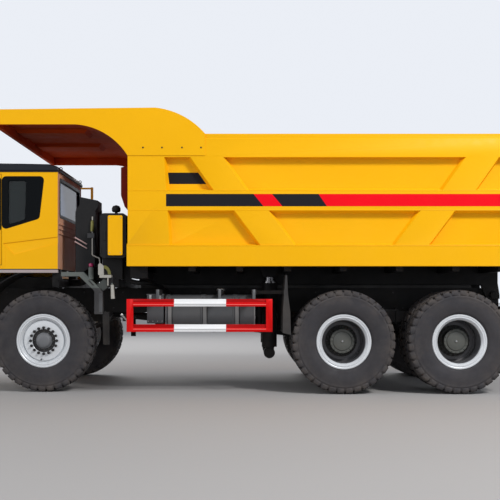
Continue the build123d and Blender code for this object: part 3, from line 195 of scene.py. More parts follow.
def surface(name, colour, rough, metallic=0.0, coat=0.0, dust=0.3, dust_top=1.7, runs=0.0, grain=160.0,
            tone=0.05, bump=0.04, specular=0.5):
    """A painted, cast or moulded surface with its finish, its dust and its runs."""
    material, tree, shader = new_material(name)
    finish = add_node(tree, "ShaderNodeGroup", {"Grain": grain, "Tone": tone}, node_tree=finish_group)
    dirt = add_node(tree, "ShaderNodeGroup", {"High": dust_top, "Amount": dust}, node_tree=dust_group)
    mask = dirt.outputs["Mask"]
    if runs:
        run = add_node(tree, "ShaderNodeGroup", {"Amount": runs}, node_tree=runs_group)
        mask = maths(tree, "MAXIMUM", mask, run.outputs["Mask"])
    scaled = {0: colour[:3], "Scale": finish.outputs["Tone"]}
    toned = add_node(tree, "ShaderNodeVectorMath", scaled, operation="SCALE")
    mixed = add_node(tree, "ShaderNodeMix", {"Factor": mask, 6: toned.outputs[0], 7: DUST}, data_type="RGBA")
    tree.links.new(mixed.outputs[2], shader.inputs["Base Color"])
    gloss = band(tree, finish.outputs["Rough"], 0.3, 0.7, rough * 0.85, min(rough * 1.2, 1.0))
    dull = maths(tree, "MULTIPLY", mask, 0.5)
    tree.links.new(maths(tree, "ADD", gloss, dull, True), shader.inputs["Roughness"])
    grains = {"Strength": bump, "Distance": 0.002, "Height": finish.outputs["Height"]}
    relief = add_node(tree, "ShaderNodeBump", grains)
    tree.links.new(relief.outputs["Normal"], shader.inputs["Normal"])
    shader.inputs["Metallic"].default_value = metallic
    shader.inputs["Coat Weight"].default_value = coat
    shader.inputs["Coat Roughness"].default_value = 0.12
    shader.inputs["Specular IOR Level"].default_value = specular
    return material


def tinted_glass(name, colour, alpha, rough=0.03):
    """Window glass: dark film that still shows what is behind it."""
    material, tree, shader = new_material(name)
    shader.inputs["Base Color"].default_value = colour
    shader.inputs["Alpha"].default_value = alpha
    smear = band(tree, noise(tree, 5.0, 4.0), 0.3, 0.8, rough, rough + 0.07)
    tree.links.new(smear, shader.inputs["Roughness"])
    return material


def rubber_surface():
    """Tyre rubber, whose dust follows its own radius: none at the bead, most on the tread."""
    material = surface("tyre_rubber", RUBBER, 0.78, dust=0.0, grain=240.0, tone=0.12, bump=0.25,
                       specular=0.35)
    tree = material.node_tree
    mixed = tree.nodes["Principled BSDF"].inputs["Base Color"].links[0].from_node
    radius = add_node(tree, "ShaderNodeAttribute", attribute_name="radius").outputs["Fac"]
    outer = band(tree, radius, 0.52, 0.72, 0.10, 0.62)
    blotches = band(tree, noise(tree, 3.4, 7.0, 0.66), 0.38, 0.68)
    rings = band(tree, noise(tree, 21.0, 3.0), 0.3, 0.7, 0.6, 1.0)
    mask = maths(tree, "MULTIPLY", maths(tree, "MULTIPLY", outer, blotches), rings)
    tree.links.new(maths(tree, "MULTIPLY", mask, 0.42, True), mixed.inputs["Factor"])
    return material


M = {
    # Paint
    "body_yellow": surface("yellow_paint", YELLOW, 0.42, dust=0.06, dust_top=3.0, runs=0.03, tone=0.02,
                           bump=0.03, specular=0.13),
    "rail_yellow": surface("rail_yellow", YELLOW, 0.42, dust=0.05, specular=0.15),
    "stripe_black": surface("stripe_black", STRIPE_BLACK, 0.5, dust=0.02, specular=0.12),
    "stripe_red": surface("stripe_red", STRIPE_RED, 0.45, dust=0.02, specular=0.12),
    "primer_brown": surface("primer_brown", PRIMER_BROWN, 0.6, dust=0.03, tone=0.16, runs=0.04,
                            specular=0.03),
    "canopy_brown_painted_light": surface("canopy_brown_painted_light", CANOPY_BROWN_PAINTED_LIGHT, 0.6, dust=0.03, tone=0.16, runs=0.04,
                            specular=0.03),
    "cab_brown_painted_light": surface("cab_rear_brown_painted_light", CAB_BROWN_WITH_PAINTED_LIGHT, 0.55, dust=0.1, tone=0.2, runs=0.2, specular=0.03),
    "frame_black": surface("frame_black", FRAME_BLACK, 0.55, dust=0.2, dust_top=1.6, tone=0.2, bump=0.1,
                           specular=0.2),
    "roof_charcoal": surface("roof_charcoal", CHARCOAL, 0.4, dust=0.04, dust_top=8.0, specular=0.2),
    "bracket_grey": surface("bracket_grey", BRACKET_GREY, 0.5, dust=0.25, dust_top=2.4, tone=0.14),
    "post_grey": surface("post_grey", (0.035, 0.035, 0.038, 1), 0.5, dust=0.25, dust_top=2.0, tone=0.15),
    "tank_grey": surface("tank_grey", TANK_GREY, 0.4, dust=0.25, dust_top=1.9, tone=0.15),
    "guard_red": surface("guard_red", GUARD_RED, 0.38, dust=0.05, dust_top=1.9, specular=0.2),
    # Darker red: painted shade on the bars' recessed upper halves
    "guard_red_painted_shade": surface("guard_red_painted_shade", (0.36, 0.001, 0.002, 1), 0.45, dust=0.05, dust_top=1.9,
                           specular=0.1),
    # A painted highlight: the lit line along the red bars' ledges
    "guard_ledge_highlight": surface("guard_ledge_highlight", (0.95, 0.22, 0.20, 1), 0.4, dust=0.02, specular=0.2),
    "guard_white": surface("guard_white", GUARD_WHITE, 0.4, dust=0.06, dust_top=1.9, specular=0.3),
    # Painted shade: the grey line along the white bars' ledges
    "ledge_painted_shade": surface("ledge_painted_shade", (0.36, 0.36, 0.36, 1), 0.4, dust=0.02),
    "plate_pale": surface("plate_pale", (0.40, 0.38, 0.34, 1), 0.4, metallic=0.3, dust=0.1),
    "strut_rose": surface("strut_rose", (0.50, 0.33, 0.31, 1), 0.4, dust=0.1),
    # Wheels
    "rim_silver": surface("rim_silver", RIM_SILVER, 0.34, metallic=0.25, dust=0.12, dust_top=1.6,
                          grain=300.0),
    # A darker copy of the rim silver: painted shade inside the twin rims
    "rim_silver_painted_shade": surface("rim_silver_painted_shade", (0.10, 0.102, 0.112, 1), 0.4, metallic=0.3, dust=0.3, dust_top=1.6,
                         grain=300.0, tone=0.15),
    "hub_grey": surface("hub_grey", HUB_GREY, 0.5, dust=0.25, dust_top=1.6, tone=0.15, bump=0.2),
    "cap_grey": surface("cap_grey", (0.15, 0.155, 0.165, 1), 0.45, dust=0.12, dust_top=1.6, tone=0.12,
                        bump=0.15),
    "nut_black": surface("nut_black", (0.02, 0.02, 0.022, 1), 0.42, metallic=0.4, dust=0.15),
    "tyre_rubber": rubber_surface(),
    # Bare and worn metal
    "engine_iron": surface("engine_iron", (0.05, 0.05, 0.05, 1), 0.68, metallic=0.3, dust=0.3, grain=90.0,
                           bump=0.4),
    "spring_steel": surface("spring_steel", (0.025, 0.025, 0.028, 1), 0.6, metallic=0.3, dust=0.45,
                            grain=90.0),
    # Chrome made dark: painted shade for the hoist standing under the body
    "hoist_chrome": surface("hoist_chrome", (0.22, 0.22, 0.23, 1), 0.26, metallic=1.0, dust=0.2,
                            dust_top=3.0, bump=0.01),
    "steel_bright": surface("steel_bright", (0.42, 0.42, 0.43, 1), 0.34, metallic=0.9, dust=0.15,
                            grain=500.0),
    "bed_steel": surface("bed_steel", (0.17, 0.06, 0.028, 1), 0.48, metallic=0.25, dust=0.55, dust_top=4.5,
                         tone=0.3, runs=0.3, grain=70.0, bump=0.25),
    "strap_steel": surface("strap_steel", (0.24, 0.235, 0.23, 1), 0.4, metallic=0.4, dust=0.2,
                           dust_top=1.9),
    "olive_brass": surface("olive_brass", (0.16, 0.15, 0.04, 1), 0.35, metallic=0.5, dust=0.1),
    "fitting_zinc": surface("fitting_zinc", (0.50, 0.50, 0.48, 1), 0.32, metallic=0.8, dust=0.1,
                            grain=400.0),
    "deck_plate": surface("deck_plate", (0.06, 0.062, 0.065, 1), 0.5, metallic=0.3, dust=0.3, dust_top=6.0,
                          grain=90.0),
    # Plastic, rubber and fabric
    "black_plastic": surface("black_plastic", PLASTIC_BLACK, 0.5, dust=0.07, dust_top=3.0, grain=420.0,
                             bump=0.15, specular=0.2),
    "knob_magenta": surface("knob_magenta", (0.42, 0.006, 0.10, 1), 0.3, dust=0.02, coat=0.4),
    "trim_grey": surface("trim_grey", (0.40, 0.33, 0.32, 1), 0.5, dust=0.1),
    "flap_rubber": surface("flap_rubber", (0.022, 0.020, 0.020, 1), 0.7, dust=0.2, dust_top=1.9,
                           grain=200.0, bump=0.2),
    "hose_black": surface("hose_black", (0.012, 0.012, 0.013, 1), 0.55, dust=0.2, grain=500.0, bump=0.2),
    "seal_rubber": surface("seal_rubber", (0.004, 0.005, 0.006, 1), 0.35, dust=0.02, grain=500.0,
                           specular=0.05),
    "seat_fabric": surface("seat_fabric", (0.03, 0.03, 0.035, 1), 0.9, dust=0.05, grain=900.0, bump=0.5),
    "dash_plastic": surface("dash_plastic", (0.045, 0.045, 0.05, 1), 0.6, dust=0.08, grain=700.0,
                            bump=0.3),
    "door_trim": surface("door_trim", (0.10, 0.10, 0.11, 1), 0.7, dust=0.05, grain=700.0, bump=0.3),
    # Glass and lenses
    "lens_amber": surface("lens_amber", (0.8, 0.22, 0.01, 1), 0.2, dust=0.05, coat=0.5),
    "lens_red": surface("lens_red", (0.5, 0.006, 0.006, 1), 0.2, dust=0.05, coat=0.5),
    "lens_white": surface("lens_white", (0.75, 0.76, 0.78, 1), 0.15, dust=0.05, coat=0.5),
    "mirror_glass": surface("mirror_glass", (0.75, 0.77, 0.8, 1), 0.03, metallic=1.0, dust=0.02, bump=0.0),
    "glass_tint": tinted_glass("glass_tint", (0.010, 0.016, 0.016, 1), 0.60),
    "rear_glass": tinted_glass("rear_glass", (0.07, 0.13, 0.27, 1), 0.78, 0.1),
    "lamp_glass": tinted_glass("lamp_glass", (0.6, 0.62, 0.65, 1), 0.3),
}


# Mesh tools
# A place from an outline's point and a depth, by the axis that the depth runs along
LIFTS = {
    "X": lambda point, depth: (depth, point[0], point[1]),
    "Y": lambda point, depth: (point[0], depth, point[1]),
    "Z": lambda point, depth: (point[0], point[1], depth),
}
# Along, across and up, for what is turned about an axis
TURNS = {
    "X": ((1, 0, 0), (0, 1, 0), (0, 0, 1)),
    "Y": ((0, 1, 0), (1, 0, 0), (0, 0, 1)),
    "Z": ((0, 0, 1), (1, 0, 0), (0, 1, 0)),
}


def y_span(sign, inner, outer):
    """The low and the high Y between two distances from the truck's middle, on one side."""
    return sorted((sign * inner, sign * outer))


def rectangle(left, right, low, high):
    return [(left, high), (right, high), (right, low), (left, low)]


def linked(name, data):
    """A new object in the scene that holds the data."""
    piece = bpy.data.objects.new(name, data)
    bpy.context.scene.collection.objects.link(piece)
    return piece


def painted(data, material):
    """One material for all of a mesh's faces."""
    data.materials.clear()
    data.materials.append(M[material])
    for face in data.polygons:
        face.material_index = 0


class Shape:
    """A mesh built up from closed forms, at its place on the truck."""

    def __init__(self):
        self.mesh = bmesh.new()

    def give_slot(self, made, slot):
        for face in made:
            face.material_index = slot

    def ring(self, middle, across, up, radius, steps):
        """Points round a circle; a radius of 0 gives its middle alone."""
        if radius < 1e-6:
            return [self.mesh.verts.new(middle)]
        points = []
        for step in range(steps):
            angle = math.tau * step / steps
            spoke = math.cos(angle) * across + math.sin(angle) * up
            points.append(self.mesh.verts.new(middle + radius * spoke))
        return points

    def wall(self, first, second):
        """Faces between two rings; they close to a tip where one of the rings is a single point."""
        made = []
        steps = max(len(first), len(second))
        for step in range(steps):
            after = (step + 1) % steps
            if len(first) == 1:
                corners = [first[0], second[after], second[step]]
            elif len(second) == 1:
                corners = [first[step], first[after], second[0]]
            else:
                corners = [first[step], first[after], second[after], second[step]]
            made.append(self.mesh.faces.new(corners))
        return made

    def prism(self, outline, low, high, along="Y", slot=0):
        """Extrude an outline along an axis; its points are (x, z), (y, z) or (x, y)."""
        near = [self.mesh.verts.new(LIFTS[along](point, low)) for point in outline]
        far = [self.mesh.verts.new(LIFTS[along](point, high)) for point in outline]
        caps = [self.mesh.faces.new(near), self.mesh.faces.new(list(reversed(far)))]
        self.give_slot(caps + self.wall(far, near), slot)

    def box(self, low, high, slot=0):
        corners = [(low[0], low[2]), (high[0], low[2]), (high[0], high[2]), (low[0], high[2])]
        self.prism(corners, low[1], high[1], "Y", slot)

    def frame(self, outer, inner, low, high, along="Y", slot=0):
        """A flat frame between two outlines with as many points."""
        loops = [[self.mesh.verts.new(LIFTS[along](point, depth)) for point in outline]
                 for outline, depth in ((outer, low), (outer, high), (inner, high), (inner, low))]
        for first, second in zip(loops, loops[1:] + loops[:1]):
            self.give_slot(self.wall(first, second), slot)

    def lathe(self, profile, centre, side=1, steps=96, slot=0, along="Y"):
        """Turn (outboard, radius) points about an axis; ends at radius 0 close by themselves."""
        axis, across, up = (Vector(way) for way in TURNS[along])
        rings = [self.ring(Vector(centre) + axis * side * out, across, up, radius, steps)
                 for out, radius in profile]
        closed = len(rings[0]) > 1 and len(rings[-1]) > 1
        for first, second in list(zip(rings, rings[1:])) + ([(rings[-1], rings[0])] if closed else []):
            if len(first) > 1 or len(second) > 1:
                self.give_slot(self.wall(first, second), slot)

    def rod(self, start, end, radius, steps=20, end_radius=None, slot=0):
        """A round bar between two points, tapered where an end radius is given."""
        start, end = Vector(start), Vector(end)
        turn = (end - start).to_track_quat("Z", "Y")
        across, up = turn @ Vector((1, 0, 0)), turn @ Vector((0, 1, 0))
        near = self.ring(start, across, up, radius, steps)
        far = self.ring(end, across, up, radius if end_radius is None else end_radius, steps)
        caps = [self.mesh.faces.new(list(reversed(near))), self.mesh.faces.new(far)]
        self.give_slot(caps + self.wall(near, far), slot)

    def add(self, piece, move=None, slot=None):
        """Take in another object's mesh, moved by a matrix, and remove that object."""
        before, faces_before = len(self.mesh.verts), len(self.mesh.faces)
        self.mesh.from_mesh(piece.data)
        self.mesh.verts.ensure_lookup_table()
        self.mesh.faces.ensure_lookup_table()
        if slot is not None:
            self.give_slot(self.mesh.faces[faces_before:], slot)
        if move is not None:
            bmesh.ops.transform(self.mesh, matrix=move, verts=self.mesh.verts[before:])
        bpy.data.objects.remove(piece)

    def finish(self, name, materials, bevel=0.0, segments=2, sharp=35.0):
        """Close the mesh, round its edges and give it its materials."""
        bmesh.ops.recalc_face_normals(self.mesh, faces=self.mesh.faces)
        data = bpy.data.meshes.new(name)
        self.mesh.to_mesh(data)
        self.mesh.free()
        for material in materials:
            data.materials.append(M[material])
        return rounded(linked(name, data), bevel, segments, sharp)


def applied(piece):
    """The piece with its modifiers made part of its mesh."""
    graph = bpy.context.evaluated_depsgraph_get()
    data = bpy.data.meshes.new_from_object(piece.evaluated_get(graph))
    piece.modifiers.clear()
    piece.data = data
    return piece


def rounded(piece, bevel, segments=2, sharp=35.0):
    """Round the piece's edges and shade its curved faces smooth."""
    piece.data.shade_smooth()
    piece.data.set_sharp_from_angle(angle=math.radians(sharp))
    if bevel:
        edge = piece.modifiers.new("edges", "BEVEL")
        edge.width = bevel
        edge.segments = segments
        edge.limit_method = "ANGLE"
        edge.angle_limit = math.radians(sharp)
        edge.harden_normals = True
        edge.use_clamp_overlap = True
        applied(piece)
    return piece


def place(piece, body, slot, *replaced):
    """Give a finished piece to its body and hide the CAD nodes that it replaces; its material slot is not used."""
    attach(piece, body)
    if replaced:
        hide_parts(*replaced)
    return piece


def softened(node, material, bevel):
    """A copy of a CAD node's mesh with its flats joined and its edges rounded, in the node's place."""
    piece = linked(f"{node}_panels", nodes[node].data.copy())
    mesh = bmesh.new()
    mesh.from_mesh(piece.data)
    bmesh.ops.remove_doubles(mesh, verts=mesh.verts, dist=0.0001)
    bmesh.ops.dissolve_limit(mesh, angle_limit=math.radians(1.0), verts=mesh.verts, edges=mesh.edges)
    mesh.to_mesh(piece.data)
    mesh.free()
    painted(piece.data, material)
    return rounded(piece, bevel, sharp=30.0)


def repaint(piece, material, rule):
    """Give another paint to the faces that a rule picks by their middle and their normal."""
    piece.data.materials.append(M[material])
    index = len(piece.data.materials) - 1
    for face in piece.data.polygons:
        if rule(face.center, face.normal):
            face.material_index = index


def paint_rules(piece, rules):
    for material, rule in rules:
        repaint(piece, material, rule)


# Geometry Nodes for what repeats
def geometry_tree(name, inputs):
    tree = bpy.data.node_groups.new(name, "GeometryNodeTree")
    tree.is_modifier = True
    for label, kind in inputs:
        tree.interface.new_socket(name=label, in_out="INPUT", socket_type=kind)
    tree.interface.new_socket(name="Mesh", in_out="OUTPUT", socket_type="NodeSocketGeometry")
    return tree, tree.nodes.new("NodeGroupInput"), tree.nodes.new("NodeGroupOutput")


def spread_copies(tree, entry, leave, points, turn=None):
    """Put the shape on each point, make the copies real and give them their material."""
    shape = add_node(tree, "GeometryNodeObjectInfo", {"Object": entry.outputs["Shape"]},
                     transform_space="ORIGINAL")
    inputs = {"Points": points, "Instance": shape.outputs["Geometry"]}
    if turn:
        inputs["Rotation"] = turn
    copies = add_node(tree, "GeometryNodeInstanceOnPoints", inputs).outputs[0]
    real = add_node(tree, "GeometryNodeRealizeInstances", {"Geometry": copies}).outputs[0]
    coat = {"Geometry": real, "Material": entry.outputs["Material"]}
    tree.links.new(add_node(tree, "GeometryNodeSetMaterial", coat).outputs[0], leave.inputs["Mesh"])


def make_ring_tree():
    """Copies of a shape turned about the Y axis through the origin."""
    inputs = [("Shape", "NodeSocketObject"), ("Count", "NodeSocketInt"), ("Material", "NodeSocketMaterial")]
    tree, entry, leave = geometry_tree("ring_of_copies", inputs)
    spots = add_node(tree, "GeometryNodePoints", {"Count": entry.outputs["Count"]}).outputs[0]
    index = add_node(tree, "GeometryNodeInputIndex").outputs[0]
    share = maths(tree, "DIVIDE", index, entry.outputs["Count"])
    angle = maths(tree, "MULTIPLY", share, math.tau)
    turn = add_node(tree, "FunctionNodeAxisAngleToRotation", {"Axis": (0, 1, 0), "Angle": angle}).outputs[0]
    spread_copies(tree, entry, leave, spots, turn)
    return tree


def make_row_tree():
    """Copies of a shape along a straight row."""
    inputs = [("Shape", "NodeSocketObject"), ("Count", "NodeSocketInt"), ("Step", VECTOR),
              ("Material", "NodeSocketMaterial")]
    tree, entry, leave = geometry_tree("row_of_copies", inputs)
    spacing = {"Count": entry.outputs["Count"], "Offset": entry.outputs["Step"]}
    row = add_node(tree, "GeometryNodeMeshLine", spacing).outputs[0]
    spread_copies(tree, entry, leave, row)
    return tree


ring_tree = make_ring_tree()
row_tree = make_row_tree()


def grown_by(tree, name, material, **values):
    """Run a tree and keep its result as a plain mesh."""
    piece = linked(name, bpy.data.meshes.new(name))
    modifier = piece.modifiers.new(name, "NODES")
    modifier.node_group = tree
    sockets = {item.name: item.identifier for item in tree.interface.items_tree if item.in_out == "INPUT"}
    for label, value in values.items():
        modifier[sockets[label]] = value
    modifier[sockets["Material"]] = M[material]
    bpy.context.view_layer.update()
    applied(piece)
    bpy.data.objects.remove(values["Shape"])
    return piece


def add_row(shape, first, step, count, radius, height, outward, slot=0, sides=6):
    """A row of bolt heads or bars, grown from one by the row tree."""
    head = Shape()
    head.rod(first, Vector(first) + Vector(outward) * height, radius, sides)
    seed = head.finish("head", ["nut_black"])
    shape.add(grown_by(row_tree, "row", "nut_black", Shape=seed, Count=count, Step=step), slot=slot)


# Tyres
groove_h = 0.026
tread_share = 0.84  # how far the lugs' straight part reaches out, as a share of half the tyre's width
lug_pitches = 36
lug_table = (
    # inner edge, outer edge (share of half the tread), share of the pitch, skew, offset in pitches
    (0.50, 1.00, 0.74, 0.10, 0.0),
    (0.03, 0.46, 0.60, -0.30, 0.5),
)


def tread_radius(out):
    """Radius of the lugs' tips at a distance from the tyre's middle."""
    return tyre_r - 0.0045 - 0.010 * (abs(out) / (tyre_w / 2)) ** 2


def carcass_profile():
    """Half of the tyre's section without its lugs, from the bead over the tread's middle."""
    half = tyre_w / 2
    # Share of the half width, and radius
    wall = ((0.655, 0.3203), (0.655, 0.385), (0.80, 0.394), (0.855, 0.408), (0.90, 0.430), (0.905, 0.436),
            (0.95, 0.462), (0.985, 0.505), (0.992, 0.550), (0.985, 0.590), (0.968, 0.618), (0.972, 0.622),
            (0.972, 0.634), (0.955, 0.640), (0.93, 0.665), (0.895, 0.690))
    crown = [(half * share, tread_radius(half * share) - groove_h) for share in (tread_share, 0.6, 0.3)]
    return [(half * share, radius) for share, radius in wall] + crown


def lug(inner, outer, share, skew, side):
    """One tread block, wider at its foot, leaning round the tyre by its skew."""
    reach = tyre_w / 2 * tread_share
    pitch = math.tau / lug_pitches
    foot_sink, foot_spread = 0.012, 1.12
    stations = [reach * (inner + (outer - inner) * step / 4) for step in range(5)]
    sections = [(out, tread_radius(out), tread_radius(out) - groove_h - foot_sink) for out in stations]
    if outer == 1.0:
        # The shoulder: two more sections that turn down over the tyre's edge
        edge, tip = stations[-1], tread_radius(stations[-1])
        sections.append((edge + 0.016, tip - 0.014, tip - groove_h - 0.020))
        sections.append((edge + 0.024, tip - 0.052, tip - 0.075))
    shape = Shape()
    rings = []
    for out, top, foot in sections:
        lean = skew * pitch * (out - stations[0]) / (stations[-1] - stations[0])
        narrow = share * pitch / 2
        wide = narrow * foot_spread
        ring = []
        for radius, angle in ((foot, -wide), (top, -narrow), (top, narrow), (foot, wide)):
            turned = angle + lean
            spot = (radius * math.sin(turned), side * out, radius * math.cos(turned))
            ring.append(shape.mesh.verts.new(spot))
        rings.append(ring)
    for first, second in zip(rings, rings[1:]):
        shape.wall(first, second)
    shape.mesh.faces.new(list(reversed(rings[0])))
    shape.mesh.faces.new(rings[-1])
    return shape.finish("lug", ["tyre_rubber"], 0.004, 1)


def make_tyre():
    """One tyre about the Y axis through the origin: a turned carcass and rings of lugs."""
    tyre = Shape()
    half = carcass_profile()
    crown_middle = [(0, tread_radius(0) - groove_h)]
    mirrored = [(-out, radius) for out, radius in reversed(half)]
    tyre.lathe(half + crown_middle + mirrored, (0, 0, 0), 1, 144)
    for inner, outer, share, skew, offset in lug_table:
        for side in (1, -1):
            block = lug(inner, outer, share, skew, side)
            ring = grown_by(ring_tree, "lugs", "tyre_rubber", Shape=block, Count=lug_pitches)
            start = (offset + (0.5 if side < 0 else 0.0)) * math.tau / lug_pitches
            tyre.add(ring, Matrix.Rotation(start, 4, "Y"))
    return tyre.finish("tyre", ["tyre_rubber"])


def mark_radius(piece, centres):
    """Store each point's distance from its wheel's axis, for the rubber's dust."""
    attribute = piece.data.attributes.new("radius", "FLOAT", "POINT")
    values = []
    for vertex in piece.data.vertices:
        spot = min(centres, key=lambda centre: abs(centre.y - vertex.co.y))
        values.append(math.hypot(vertex.co.x - spot.x, vertex.co.z - spot.z))
    attribute.data.foreach_set("value", values)


def make_tyres():
    """All ten tyres, from one pattern, each turned a little so that no two stand alike."""
    pattern = make_tyre()
    spots = []
    for side, sign in SIDES:
        middle = Vector((front_wheel_place.x, sign * front_wheel_place.y, tyre_r))
        spots.append((f"front_tyre_{side}", f"front_wheel_{side}", [middle]))
        for number, spot in enumerate(rear_wheel_places, start=1):
            pair = [Vector((spot.x, sign * (spot.y + shift), tyre_r))
                    for shift in (-dual_spacing / 2, dual_spacing / 2)]
            spots.append((f"rear_tyres_{number}_{side}", f"rear_wheels_{number}_{side}", pair))
    for node, body, centres in spots:
        shape = Shape()
        for index, centre in enumerate(centres):
            copy = bpy.data.objects.new("copy", pattern.data)
            turn = Matrix.Rotation(0.05 * index + 0.3 * len(node), 4, "Y")
            shape.add(copy, Matrix.Translation(centre) @ turn)
        piece = shape.finish(f"{node}_tread", ["tyre_rubber"])
        mark_radius(piece, centres)
        place(piece, body, "tyre_rubber", node)
    bpy.data.objects.remove(pattern)


# Rims and hubs, in (outboard, radius) points
rim_steps, hub_steps = 128, 96
rim_smooth = 28.0
rim_painted_shade_reach = 0.375  # the twin rims' insides get a painted shade up to here, either side of their middle
bead_seat_r = 0.3195
outer_lip = [
    # From the bead seat over the flange, down into the gap and over the lock ring
    (0.145, bead_seat_r), (0.145, 0.382), (0.150, 0.388), (0.161, 0.388), (0.167, 0.381), (0.167, 0.366),
    (0.163, 0.360), (0.158, 0.358), (0.158, 0.352), (0.164, 0.349), (0.164, 0.338),
]
front_barrel = [
    (-0.166, 0.302), (-0.166, 0.380), (-0.161, 0.388), (-0.150, 0.388), (-0.145, 0.382),
    (-0.145, bead_seat_r), *outer_lip, (0.158, 0.333), (0.150, 0.331), (0.138, 0.318), (0.120, 0.305),
    (0.100, 0.300), (-0.150, 0.300),
]
front_disc = [
    (0.100, 0.168), (0.124, 0.168), (0.126, 0.171), (0.127, 0.278), (0.1265, 0.283), (0.122, 0.288),
    (0.108, 0.292), (0.099, 0.301), (0.060, 0.301), (0.060, 0.294), (0.085, 0.284), (0.094, 0.272),
]
front_axle_r = 0.0560
front_drum = [
    (-0.15, 0.215), (-0.15, 0.235), (-0.035, 0.235), (-0.02, 0.225), (-0.02, 0.145), (-0.04, 0.145),
    (-0.04, 0.215),
]
front_cap = [
    (0.100, 0.0), (0.100, 0.118), (0.112, 0.118), (0.114, 0.108), (0.146, 0.106), (0.149, 0.100),
    (0.164, 0.092), (0.171, 0.080), (0.175, 0.055), (0.178, 0.0),
]
rear_lips = [
    (-0.145, bead_seat_r), *outer_lip, (0.156, 0.332), (0.146, 0.320), (0.128, 0.306), (0.100, 0.300),
    (-0.166, 0.300), (-0.166, 0.381), (-0.161, 0.388), (-0.150, 0.388), (-0.145, 0.382),
]
rear_hub = [
    (0.022, 0.092), (0.022, 0.228), (0.040, 0.228), (0.044, 0.224), (0.060, 0.180), (0.066, 0.174),
    (0.185, 0.168), (0.188, 0.174), (0.199, 0.174), (0.202, 0.170), (0.203, 0.140), (0.212, 0.132),
    (0.215, 0.124), (0.215, 0.030), (0.218, 0.026), (0.219, 0.0), (0.155, 0.0), (0.155, 0.092),
]
front_nut_rings = (
    # name, material, circle's radius, outboard, count, across flats, height
    ("front_wheel_nuts", "nut_black", 0.188, 0.1265, 16, 0.038, 0.030),
    ("front_cap_bolts", "hub_grey", 0.135, 0.105, 12, 0.015, 0.010),
)
rear_nut_rings = (
    ("rear_wheel_nuts", "nut_black", 0.206, 0.040, 20, 0.036, 0.034),
    ("rear_hub_bolts", "hub_grey", 0.156, 0.202, 16, 0.016, 0.008),
)


def hex_nut(radius, height, out, across_flats, cap=0.6):
    """A nut or bolt head on a wheel's face, with a rounded stud end standing out of it."""
    shape = Shape()
    for low, high, wide, steps in ((out, out + height, across_flats / 2 / math.cos(math.pi / 6), 6),
                                   (out + height, out + height * (1 + cap), across_flats * 0.3, 12)):
        shape.rod((0, low, radius), (0, high, radius), wide, steps)
    return shape.finish("nut", ["nut_black"], 0.0015, 1)


def ring_of_nuts(body, mark, centre, sign, name, material, radius, out, count, flats, height):
    """A ring of nuts on a wheel's face; the mark at the name's end says which wheel."""
    name = f"{name}_{mark}"
    nut = hex_nut(radius, height, out, flats)
    ring = grown_by(ring_tree, name, material, Shape=nut, Count=count)
    shape = Shape()
    shape.add(ring, Matrix.Translation(centre) @ Matrix.Diagonal((1, sign, 1, 1)))
    place(shape.finish(name, [material]), body, "rim_silver")


def add_valve(shape, foot, neck, tip, stem_r, cap_r):
    """A tyre's valve: a thin stem and its wider cap, whose ends are given from the foot."""
    neck, tip = foot + Vector(neck), foot + Vector(tip)
    shape.rod(foot, neck, stem_r, 12)
    shape.rod(neck, tip, cap_r, 12)


def make_front_rim(side, sign):
    """A front wheel's rim and disc, its hub with brake drum and cap, its nuts and its valve."""
    body = f"front_wheel_{side}"
    centre = Vector((front_wheel_place.x, sign * front_wheel_place.y, tyre_r))
    shell = Shape()
    shell.lathe(front_barrel, centre, sign, rim_steps)
    shell.lathe(front_disc, centre, sign, rim_steps)
    place(shell.finish(f"front_rim_shell_{side}", ["rim_silver"], sharp=rim_smooth), body, "rim_silver")
    hub = Shape()
    bearing = [(-0.09, front_axle_r), (-0.09, 0.15), (0.080, 0.15), (0.080, front_axle_r)]
    flange = [(0.080, front_axle_r), (0.080, 0.176), (0.099, 0.176), (0.106, 0.166), (0.106, front_axle_r)]
    hub.lathe(bearing, centre, sign, 64)
    hub.lathe(flange, centre, sign, hub_steps, 1)
    hub.lathe(front_drum, centre, sign, hub_steps)
    hub.lathe(front_cap, centre, sign, 64, 2)
    piece = hub.finish(f"front_hub_{side}", ["hub_grey", "nut_black", "cap_grey"], sharp=rim_smooth)
    place(piece, body, "rim_silver", f"front_rim_{side}")
    for ring in front_nut_rings:
        ring_of_nuts(body, side, centre, sign, *ring)
    valve = Shape()
    add_valve(valve, centre + Vector((0.03, sign * 0.125, -0.262)), (0, sign * 0.03, -0.006),
              (0, sign * 0.045, -0.012), 0.007, 0.010)
    place(valve.finish(f"front_valve_{side}", ["nut_black"], 0.001, 1), body, "rim_silver")


